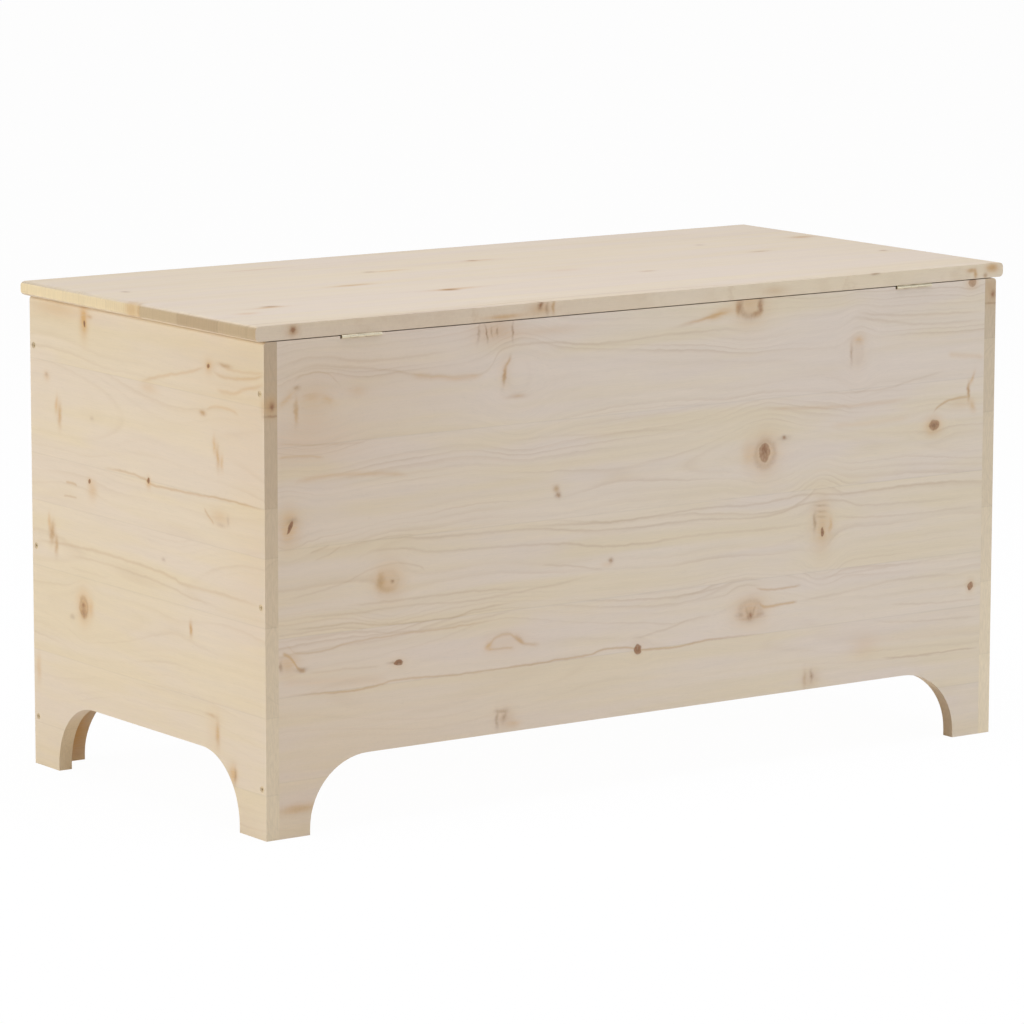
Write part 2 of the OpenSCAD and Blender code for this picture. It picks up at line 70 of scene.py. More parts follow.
class Graph:
    """Adds nodes to a node tree. An input is a number, a tuple or another node's output socket."""

    def __init__(self, tree):
        self.tree = tree

    def add(self, kind, inputs, out=0, **settings):
        """Adds a node and gives one of its output sockets."""
        node = self.tree.nodes.new(kind)
        for name, value in settings.items():
            setattr(node, name, value)
        for key, value in inputs.items():
            if isinstance(value, bpy.types.NodeSocket):
                self.tree.links.new(value, node.inputs[key])
            else:
                node.inputs[key].default_value = value
        return node.outputs[out] if node.outputs else None

    def math(self, operation, *values, clamp=False):
        inputs = dict(enumerate(values))
        return self.add("ShaderNodeMath", inputs, operation=operation, use_clamp=clamp)

    def times(self, first, second, clamp=False):
        return self.math("MULTIPLY", first, second, clamp=clamp)

    def times_plus(self, value, factor, start):
        return self.math("MULTIPLY_ADD", value, factor, start)

    def vector(self, operation, *values):
        out = "Value" if operation == "DOT_PRODUCT" else "Vector"
        return self.add("ShaderNodeVectorMath", dict(enumerate(values)), out, operation=operation)

    def scale(self, vector, factor):
        return self.add("ShaderNodeVectorMath", {0: vector, "Scale": factor}, operation="SCALE")

    def combine(self, x, y, z):
        return self.add("ShaderNodeCombineXYZ", {0: x, 1: y, 2: z})

    def separate(self, vector):
        return tuple(self.add("ShaderNodeSeparateXYZ", {0: vector}).node.outputs)

    def noise(self, point, size, offset, detail, out=0):
        """Noise whose features have the given size (u, v, w), in metres."""
        scaled = self.vector("MULTIPLY_ADD", point, tuple(1 / s for s in size), (offset,) * 3)
        inputs = {"Vector": scaled, "Scale": 1.0, "Detail": detail, "Roughness": 0.5}
        return self.add("ShaderNodeTexNoise", inputs, out)

    def random(self, value, seed):
        """A random number from 0 to 1 for each whole value."""
        w = self.math("ADD", value, seed + SEED_OFFSET)
        return self.add("ShaderNodeTexWhiteNoise", {"W": w}, noise_dimensions="1D")

    def smooth(self, value, low, high, to_low=0.0, to_high=1.0):
        """From to_low at low to to_high at high, and level outside them."""
        inputs = {0: value, 1: low, 2: high, 3: to_low, 4: to_high}
        return self.add("ShaderNodeMapRange", inputs, interpolation_type="SMOOTHSTEP")

    def contrast(self, value, amount):
        """A factor round 1 that goes up by the amount as the value goes from 0 to 1."""
        return self.times_plus(value, amount, 1 - amount / 2)

    def spread(self, value, width):
        """Turns 0 to 1 into a range of the given width round 0."""
        return self.times_plus(value, width, -width / 2)

    def linear(self, value, low, high):
        """0 at low and 1 at high, and straight between them."""
        inputs = {0: value, 1: low, 2: high, 3: 0.0, 4: 1.0}
        return self.add("ShaderNodeMapRange", inputs, interpolation_type="LINEAR")

    def mix(self, factor, first, second, blend="MIX"):
        inputs = {0: factor, 6: first, 7: second}
        return self.add("ShaderNodeMix", inputs, 2, data_type="RGBA", blend_type=blend)

    def bump(self, height, strength, distance):
        inputs = {"Height": height, "Strength": strength, "Distance": distance}
        return self.add("ShaderNodeBump", inputs)

    def ramp(self, value, stops):
        """Straight lines through the given (value, result) stops."""
        node = self.add("ShaderNodeValToRGB", {0: value}).node
        elements = node.color_ramp.elements
        while len(elements) < len(stops):
            elements.new(1.0)
        for element, (position, result) in zip(elements, stops):
            element.position = position
            element.color = (1, 1, 1, result)
        return node.outputs["Alpha"]

    def curve(self, value, points):
        """Smooth function from 0-1 to 0-1 through the given points."""
        node = self.add("ShaderNodeFloatCurve", {"Value": value}).node
        line = node.mapping.curves[0]
        while len(line.points) < len(points):
            line.points.new(0.5, 0.5)
        for point, place in zip(line.points, points):
            point.location = place
            point.handle_type = "AUTO"
        node.mapping.update()
        return node.outputs[0]


def set_material(node, material):
    node.data.materials.clear()
    node.data.materials.append(material)


def add_object(name, data):
    made = bpy.data.objects.new(name, data)
    bpy.context.scene.collection.objects.link(made)
    return made


def new_material(name):
    material = bpy.data.materials.new(name)
    material.use_nodes = True
    material.node_tree.nodes.clear()
    return material, Graph(material.node_tree)


def finish_material(graph, inputs):
    """Joins a Principled shader with these inputs to the material's output."""
    shader = graph.add("ShaderNodeBsdfPrincipled", inputs)
    graph.add("ShaderNodeOutputMaterial", {"Surface": shader})


# ---- pine ----

PALE = srgb(227, 210, 185)
YELLOW = srgb(226, 208, 175)
PINK = srgb(225, 208, 187)
LATEWOOD = srgb(198, 169, 132)
AMBER = srgb(212, 171, 116)
BROWN = srgb(158, 115, 78)
BLACK = srgb(96, 62, 34)
LIGHT_END = srgb(236, 217, 181)
BROWN_END = srgb(184, 160, 128)
AMBER_DEPTH = 1.25
BROWN_DEPTH = 1.3

# Sizes of the wood's features along, across and through a board, in metres. Their noise is
# mostly between 0.3 and 0.7, so the limits that smooth() picks its high parts with are too.
WAVES = (0.014, 0.009, 0.009)
RING_AREAS = (0.16, 0.03, 0.03)
YELLOW_AREAS = (0.4, 0.022, 0.022)
PINK_AREAS = (0.22, 0.035, 0.035)
BANDS = (0.22, 0.007, 0.007)
FIBRES = (0.03, 0.0011, 0.0011)
FLECKS = (0.007, 0.0006, 0.0006)
GRIT = (0.0025, 0.004, 0.004)
END_STREAKS = (0.001, 0.012, 0.0016)
QUARTER_SAWN_END_STREAKS = (0.001, 0.0016, 0.03)

# How far the waves move the figure along and across the board
WAVE_SHIFT = (0.006, 0.0035, 0.0)

# How far each feature changes the wood's brightness
FIBRE_CONTRAST = 0.09
BAND_CONTRAST = 0.07
END_STREAK_CONTRAST = 0.08
FLECK_SHADE = 0.97
GLUE_CONTRAST = 0.05

# A mark's bell is 1 in its middle and 1/e on its edge. A power below 1 widens what it shapes,
# and a power above 1 narrows it.
E_INVERSE = math.exp(-1)
HALO_POWER = 0.5
PUSH_POWER = 0.13
HEART_POWER = 5.0
RING_POWER = 6.0

# The sockets of the marks' node groups, and the totals that go from mark to mark
PLACE_INPUTS = ["Point", "Centre", "Axis 1", "Axis 2", "Axis 3"]
KNOT_INPUTS = ["Push", "Amber Part", "Fill Part", "Ring Part", "Heart Part"]
SMEAR_INPUTS = ["Amber Part", "Brown Part"]
TOTALS = {"Shift": "Vector", "Amber": "Float", "Brown": "Float", "Black": "Float"}


def start_group(name, parts):
    """A node group that takes these parts and the running totals, and gives the new totals."""
    group = bpy.data.node_groups.new(name, "ShaderNodeTree")
    inputs = {**dict.fromkeys(PLACE_INPUTS, "Vector"), **dict.fromkeys(parts, "Float"), **TOTALS}
    for socket, kind in inputs.items():
        group.interface.new_socket(socket, in_out="INPUT", socket_type=f"NodeSocket{kind}")
    for socket, kind in TOTALS.items():
        group.interface.new_socket(socket, in_out="OUTPUT", socket_type=f"NodeSocket{kind}")
    graph = Graph(group)
    given = {s.name: s for s in group.nodes.new("NodeGroupInput").outputs if s.name}
    away = graph.vector("SUBTRACT", given["Point"], given["Centre"])
    along = graph.vector("DOT_PRODUCT", away, given["Axis 1"])
    distance = graph.times(along, along)
    for axis in ("Axis 2", "Axis 3"):
        across = graph.vector("DOT_PRODUCT", away, given[axis])
        distance = graph.times_plus(across, across, distance)
    bell = graph.math("POWER", E_INVERSE, distance)
    return graph, given, away, bell


def make_knot_group():
    """A knot round Centre, with half axes 1 and 2.

    It shifts the grain aside, as grain runs round a knot, and adds an amber halo, a brown inside,
    a brown ring along its edge and a black heart.
    """
    graph, given, away, bell = start_group("knot", KNOT_INPUTS)
    halo = graph.math("POWER", bell, HALO_POWER)
    wide = graph.math("POWER", bell, PUSH_POWER)
    push = graph.times(wide, given["Push"])
    inside = graph.times(graph.smooth(bell, 0.28, 0.52), given["Fill Part"])
    # This product is highest, at 1/4, where the bell is 1/2, near the knot's edge
    edge = graph.times(graph.math("SUBTRACT", 1.0, bell), bell)
    edge = graph.math("POWER", graph.times(edge, 4.0), RING_POWER)
    edge = graph.times(edge, given["Ring Part"])
    heart = graph.times(graph.math("POWER", bell, HEART_POWER), given["Heart Part"])
    brown = graph.math("MAXIMUM", graph.math("MAXIMUM", inside, edge), given["Brown"])
    totals = {
        "Shift": graph.vector("ADD", graph.scale(away, push), given["Shift"]),
        "Amber": graph.times_plus(halo, given["Amber Part"], given["Amber"]),
        "Brown": brown,
        "Black": graph.math("MAXIMUM", heart, given["Black"]),
    }
    graph.add("NodeGroupOutput", totals)
    return graph.tree


def make_smear_group():
    """A soft amber or brown spot or streak round Centre."""
    graph, given, _, bell = start_group("smear", SMEAR_INPUTS)
    totals = {
        "Shift": given["Shift"],
        "Amber": graph.times_plus(bell, given["Amber Part"], given["Amber"]),
        "Brown": graph.times_plus(bell, given["Brown Part"], given["Brown"]),
        "Black": given["Black"],
    }
    graph.add("NodeGroupOutput", totals)
    return graph.tree


KNOT_GROUP = make_knot_group()
SMEAR_GROUP = make_smear_group()


def mark(group, u, v, half_u, half_v, tilt, parts, w=0.0, half_w=math.inf):
    """One knot or smear at (u, v) along and across the grain, in millimetres and degrees.

    It runs right through the board, unless it has a place w and a half size in its thickness.
    """
    turn = math.radians(tilt)
    place = {
        "Centre": (u * MM, v * MM, w * MM),
        "Axis 1": (math.cos(turn) / (half_u * MM), math.sin(turn) / (half_u * MM), 0.0),
        "Axis 2": (-math.sin(turn) / (half_v * MM), math.cos(turn) / (half_v * MM), 0.0),
        "Axis 3": (0.0, 0.0, 1 / (half_w * MM)),
    }
    return group, {**place, **parts}


def knot(u, v, half_u, half_v, fill=0.6, ring=0.0, heart=0.0, amber=0.4, tilt=0, push=0.75):
    parts = dict(zip(KNOT_INPUTS, (-push, amber, fill, ring, heart)))
    return mark(KNOT_GROUP, u, v, half_u, half_v, tilt, parts)


def smear(u, v, half_u, half_v, amber=0.0, brown=0.0, tilt=0):
    parts = dict(zip(SMEAR_INPUTS, (amber, brown)))
    return mark(SMEAR_GROUP, u, v, half_u, half_v, tilt, parts)


def spot(u, v, w, half_u, half_v, half_w, amber=0.0, brown=0.0):
    """A smear that ends inside the board, for the edges of boards."""
    parts = dict(zip(SMEAR_INPUTS, (amber, brown)))
    return mark(SMEAR_GROUP, u, v, half_u, half_v, 0, parts, w, half_w)


@dataclass
class Line:
    """A ring line that shows along the grain: points (u, v) from end to end, in millimetres."""

    points: list
    strength: float
    thick: float = 1.2
    amber: float = 0.0


def add_marks(graph, point, marks):
    """Totals of all the marks at a point: how they shift the grain and colour the wood."""
    totals = {"Shift": (0.0, 0.0, 0.0), "Amber": 0.0, "Brown": 0.0, "Black": 0.0}
    for group, values in marks:
        inputs = {"Point": point, **values, **totals}
        outputs = graph.add("ShaderNodeGroup", inputs, node_tree=group).node.outputs
        totals = {name: outputs[name] for name in totals}
    return totals


LINE_ENDS = [(0.0, 0.0), (0.12, 1.0), (0.88, 1.0), (1.0, 0.0)]
LINE_AMBER = 0.75


def add_lines(graph, u, v, lines):
    """How dark and how amber the listed ring lines are at (u, v)."""
    dark = 0.0
    amber = 0.0
    for line in lines:
        us = [p[0] * MM for p in line.points]
        vs = [p[1] * MM for p in line.points]
        u_low, u_span = min(us), max(us) - min(us)
        v_low, v_span = min(vs) - MM, max(vs) - min(vs) + 2 * MM
        share = graph.linear(u, u_low, u_low + u_span)
        points = sorted(((a - u_low) / u_span, (b - v_low) / v_span) for a, b in zip(us, vs))
        height = graph.times_plus(graph.curve(share, points), v_span, v_low)
        away = graph.times(graph.math("SUBTRACT", v, height), 1 / (line.thick * MM))
        bell = graph.math("POWER", E_INVERSE, graph.times(away, away))
        ends = graph.ramp(share, LINE_ENDS)
        faded = graph.times(bell, ends)
        dark = graph.times_plus(faded, line.strength, dark)
        if line.amber:
            amber = graph.times_plus(faded, line.amber * LINE_AMBER, amber)
    return dark, amber


# A glue line is full up to the first distance from its joint, and gone at the second
GLUE_FULL = 0.2 * MM
GLUE_GONE = 1.1 * MM


def add_staves(graph, v, edges, end_tones):
    """The stave at v: its number, its middle, the tone of its ends, and how near a glue line is."""
    index = 0.0
    middle = (edges[0] + edges[1]) / 2 * MM
    tone = end_tones[0]
    glue = 1.0
    for i, (low, edge, high) in enumerate(zip(edges, edges[1:], edges[2:])):
        past = graph.math("GREATER_THAN", v, edge * MM)
        index = graph.math("ADD", index, past)
        middle = graph.times_plus(past, (high - low) / 2 * MM, middle)
        tone = graph.times_plus(past, end_tones[i + 1] - end_tones[i], tone)
        away = graph.math("ABSOLUTE", graph.math("SUBTRACT", v, edge * MM))
        glue = graph.math("MINIMUM", glue, away)
    glue = graph.smooth(glue, GLUE_FULL, GLUE_GONE, 1.0, 0.0)
    return index, middle, tone, glue


# Year rings run round a pith beside each stave, in metres. It wanders along the stave.
RING_GAP = 5.2 * MM
QUARTER_SAWN_SIDE = 0.24
QUARTER_SAWN_SPREAD = 0.06
PITH_SIDE_SPREAD = 0.09
PITH_DEPTH = 0.022
PITH_DEPTH_SPREAD = 0.05
WANDER_ACROSS = 0.05
WANDER_THROUGH = 0.045
WANDER_START = -0.022
WANDER_SCALE = 3.2

# The gaps between rings and their strengths are uneven
RING_UNEVEN = 2.4
RING_UNEVEN_SCALE = 90.0
RING_STRENGTH_POWER = 1.6
FAINTEST_RING = 0.15
RING_PROFILE = [(0.0, 0.18), (0.12, 0.0), (0.55, 0.12), (0.86, 1.0), (1.0, 0.18)]

# Steps that give each stave, board and ring its own part of the noise
STAVE_STEP = 7.31
BOARD_STEP = 1.7
RING_STEP = 57.0
TONE_STEP = 0.9


def add_rings(graph, u, v, w, index, middle, board):
    """Darkness of the year rings at a point."""
    seed = board.seed
    stave_seed = graph.times_plus(index, STAVE_STEP, seed * BOARD_STEP)
    place = graph.combine(graph.times(u, WANDER_SCALE), stave_seed, 0.0)
    wander = graph.add("ShaderNodeTexNoise", {"Vector": place, "Scale": 1.0, "Detail": 1.0}, 1)
    wander_v, wander_w, _ = graph.separate(wander)
    if board.quarter_sawn:
        side = QUARTER_SAWN_SIDE
        depth = graph.spread(graph.random(index, seed + 11), QUARTER_SAWN_SPREAD)
    else:
        side = graph.spread(graph.random(index, seed), PITH_SIDE_SPREAD)
        depth = graph.times_plus(graph.random(index, seed + 11), PITH_DEPTH_SPREAD, PITH_DEPTH)
    pith_v = graph.math("ADD", graph.math("ADD", middle, side), -WANDER_ACROSS / 2)
    pith_v = graph.times_plus(wander_v, WANDER_ACROSS, pith_v)
    pith_w = graph.math("ADD", depth, graph.times_plus(wander_w, WANDER_THROUGH, WANDER_START))
    a = graph.math("SUBTRACT", v, pith_v)
    b = graph.math("ADD", w, pith_w)
    radius = graph.math("SQRT", graph.times_plus(a, a, graph.times(b, b)))
    place = graph.combine(radius, stave_seed, 0.0)
    inputs = {"Vector": place, "Scale": RING_UNEVEN_SCALE, "Detail": 1.0}
    uneven = graph.times(graph.add("ShaderNodeTexNoise", inputs), RING_UNEVEN)
    phase = graph.times_plus(radius, 1 / RING_GAP, uneven)
    ring = graph.math("FLOOR", phase)
    strength = graph.random(graph.times_plus(index, RING_STEP, ring), seed + 3)
    strength = graph.math("POWER", strength, RING_STRENGTH_POWER)
    profile = graph.ramp(graph.math("FRACT", phase), RING_PROFILE)
    strength = graph.times_plus(strength, 1 - FAINTEST_RING, FAINTEST_RING)
    return graph.times(profile, strength)


@dataclass
class Board:
    """One board: which axes run along, across and through it, and what shows in its wood.

    Its staves are given by their edges. Below calm_below the year rings are fainter. Both are in
    millimetres. end_tones says how light the cut end of each stave is, at random by default.
    """

    node: str
    axes: str
    staves: list
    marks: list = field(default_factory=list)
    lines: list = field(default_factory=list)
    seed: int = 0
    body: str = "box"
    slot: str = "pine_boards"
    quarter_sawn: bool = False
    end_tones: list = field(default_factory=list)
    tint: tuple = (1.0, 1.0, 1.0)
    ring_depth: float = 0.45
    mottle: float = 1.0
    calm_below: float = 0.0

    def __post_init__(self):
        pick = random.Random(self.seed)
        self.end_tones = self.end_tones or [pick.uniform(0.15, 0.6) for _ in self.staves[1:]]


STAVE_TONE_SPREAD = 0.16
PINK_SHARE = 0.85


def base_colour(graph, board, point, index, rings):
    """Pale, yellow and pink areas with darker year rings."""
    seed = board.seed
    step = graph.combine(0.0, graph.times(index, TONE_STEP), 0.0)
    stave_point = graph.vector("ADD", point, step)
    band = graph.noise(stave_point, YELLOW_AREAS, seed + 1, 2.0)
    hue = graph.noise(stave_point, PINK_AREAS, seed + 2, 2.0)
    stave_tone = graph.spread(graph.random(index, seed + 21), STAVE_TONE_SPREAD)
    yellow = graph.smooth(graph.math("ADD", band, stave_tone), 0.35, 0.7, 0.0, board.mottle)
    colour = graph.mix(yellow, PALE, YELLOW)
    pinkness = graph.smooth(graph.math("SUBTRACT", hue, stave_tone), 0.4, 0.66, 0.0, PINK_SHARE)
    colour = graph.mix(pinkness, colour, PINK)
    rings = graph.times(rings, board.ring_depth, clamp=True)
    return graph.mix(rings, colour, LATEWOOD)


AMBER_CONTRAST = 0.8
WEAKEST_SPOT = 0.75


def mark_colour(graph, colour, totals, lines, line_amber, fibre, grit):
    """Adds ring lines, amber halos, brown knots and their black hearts to a colour."""
    colour = graph.mix(graph.times(lines, 1.0, clamp=True), colour, LATEWOOD)
    uneven = graph.contrast(fibre, AMBER_CONTRAST)
    amber = graph.times_plus(totals["Amber"], AMBER_DEPTH, line_amber)
    colour = graph.mix(graph.times(amber, uneven, clamp=True), colour, AMBER)
    spots = graph.smooth(grit, 0.35, 0.65, WEAKEST_SPOT, 1.0)
    brown = graph.times(totals["Brown"], BROWN_DEPTH)
    brown = graph.times(brown, spots, clamp=True)
    colour = graph.mix(brown, colour, BROWN)
    black = graph.times(totals["Black"], spots, clamp=True)
    return graph.mix(black, colour, BLACK), brown, black


END_SHADE = 0.95
END_SHARE = 0.9


def end_colour(graph, board, colour, point, tone, rings, normal):
    """Adds the look of cut ends, where the grain runs into the surface."""
    size = QUARTER_SAWN_END_STREAKS if board.quarter_sawn else END_STREAKS
    streaks = graph.noise(point, size, board.seed + 9, 1.0)
    end = graph.mix(tone, BROWN_END, LIGHT_END)
    streaks = graph.smooth(streaks, 0.3, 0.7)
    shade = graph.times_plus(streaks, END_STREAK_CONTRAST, END_SHADE)
    shade = graph.times_plus(rings, -END_STREAK_CONTRAST, shade)
    end = graph.mix(1.0, end, graph.combine(shade, shade, shade), "MULTIPLY")
    grain_axis = {"X": (1, 0, 0), "Y": (0, 1, 0), "Z": (0, 0, 1)}[board.axes[0]]
    facing = graph.math("ABSOLUTE", graph.vector("DOT_PRODUCT", normal, grain_axis))
    is_end = graph.smooth(facing, 0.45, 0.85)
    return graph.mix(graph.times(is_end, END_SHARE), colour, end), is_end


CALM_RINGS = 0.4
ROUGHNESS = 0.46
SPECULAR = 0.35
RELIEF = 0.2 * MM


def pine(board):
    """Material of an edge-glued pine board."""
    material, graph = new_material(f"pine_{board.node}")
    seed = board.seed
    coordinates = graph.tree.nodes.new("ShaderNodeTexCoord")
    place = dict(zip("XYZ", graph.separate(coordinates.outputs["Object"])))
    low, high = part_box(board.node)
    through = "XYZ".index(board.axes[2])
    u, v = place[board.axes[0]], place[board.axes[1]]
    w = graph.math("SUBTRACT", place[board.axes[2]], (low[through] + high[through]) / 2)
    point = graph.combine(u, v, w)

    # Small waves, so that no knot or line is a perfect curve
    waves = graph.noise(point, WAVES, seed, 3.0, out=1)
    waves = graph.vector("SUBTRACT", waves, (0.5, 0.5, 0.5))
    bent = graph.vector("MULTIPLY_ADD", waves, WAVE_SHIFT, point)
    totals = add_marks(graph, bent, board.marks)
    shifted = graph.vector("ADD", bent, totals["Shift"])

    index, middle, tone, glue = add_staves(graph, v, board.staves, board.end_tones)
    rings = add_rings(graph, u, graph.separate(shifted)[1], w, index, middle, board)
    # Rings and lines fade in some areas
    fade = graph.noise(point, RING_AREAS, seed + 4, 1.0)
    rings = graph.times(rings, graph.smooth(fade, 0.35, 0.7, 0.25, 1.0))
    if board.calm_below:
        edge = board.calm_below * MM
        rings = graph.times(rings, graph.smooth(v, edge - MM, edge + MM, CALM_RINGS, 1.0))
    lines, line_amber = add_lines(graph, u, graph.separate(bent)[1], board.lines)
    lines = graph.times(lines, graph.smooth(fade, 0.3, 0.55, 0.5, 0.85))

    fibre = graph.noise(shifted, FIBRES, seed + 5, 2.0)
    flecks = graph.noise(shifted, FLECKS, seed + 6, 0.0)
    grit = graph.noise(point, GRIT, seed + 8, 2.0)
    colour = base_colour(graph, board, point, index, rings)
    colour, is_end = end_colour(
        graph, board, colour, point, tone, rings, coordinates.outputs["Normal"]
    )
    colour, brown, black = mark_colour(graph, colour, totals, lines, line_amber, fibre, grit)

    # Fine fibres, bands, flecks and glue lines
    shade = graph.contrast(fibre, FIBRE_CONTRAST)
    bands = graph.noise(shifted, BANDS, seed + 7, 1.0)
    shade = graph.times(shade, graph.contrast(bands, BAND_CONTRAST * board.mottle))
    shade = graph.times(shade, graph.smooth(flecks, 0.62, 0.8, 1.0, FLECK_SHADE))
    shade = graph.times(shade, graph.times_plus(glue, -GLUE_CONTRAST, 1.0))
    colour = graph.mix(1.0, colour, graph.scale(board.tint, shade), "MULTIPLY")

    # Rings and knots shine a little more than the wood between them, and cut ends less
    roughness = graph.times_plus(fibre, 0.16, ROUGHNESS)
    roughness = graph.times_plus(rings, -0.08, roughness)
    roughness = graph.times_plus(brown, -0.1, roughness)
    roughness = graph.times_plus(is_end, 0.12, roughness)

    # Rings stand up, glue lines and the hearts of knots lie low
    height = graph.times_plus(rings, 0.45, graph.times(fibre, 0.5))
    height = graph.times_plus(black, -0.8, height)
    height = graph.times_plus(glue, -0.7, height)
    normal = graph.bump(height, 0.35, RELIEF)
    inputs = {"Base Color": colour, "Roughness": roughness, "Normal": normal}
    finish_material(graph, {**inputs, "Specular IOR Level": SPECULAR})
    return material


SCATTERED_SIZES = (2.5, 3.0, 3.5, 4.5, 5.0, 7.0, 10.0)
RINGED_SIZE = 6


def scattered_marks(seed, u_range, v_range, count):
    """Knots spread at random over a board, in millimetres: many small ones and a few large ones."""
    pick = random.Random(seed)
    marks = []
    for _ in range(count):
        half_v = pick.choice(SCATTERED_SIZES)
        half_u = half_v * pick.uniform(0.5, 0.9)
        u, v = pick.uniform(*u_range), pick.uniform(*v_range)
        ringed = half_v > RINGED_SIZE
        marks.append(
            knot(
                u, v, half_u, half_v,
                fill=0.12 if ringed else pick.uniform(0.3, 0.9),
                ring=pick.uniform(0.25, 0.5) if ringed else 0.0,
                heart=pick.uniform(0.0, 0.8),
                amber=pick.uniform(0.25, 0.5),
                tilt=pick.uniform(-12, 12),
            )
        )
        if ringed:
            marks.append(smear(u, v, half_u * 0.4, half_v * 0.55, brown=0.6))
        if pick.random() < 0.4:
            marks.append(smear(u + half_u * 2, v - half_v * 0.5, half_u * 2.5, 1.6, amber=0.4))
    return marks
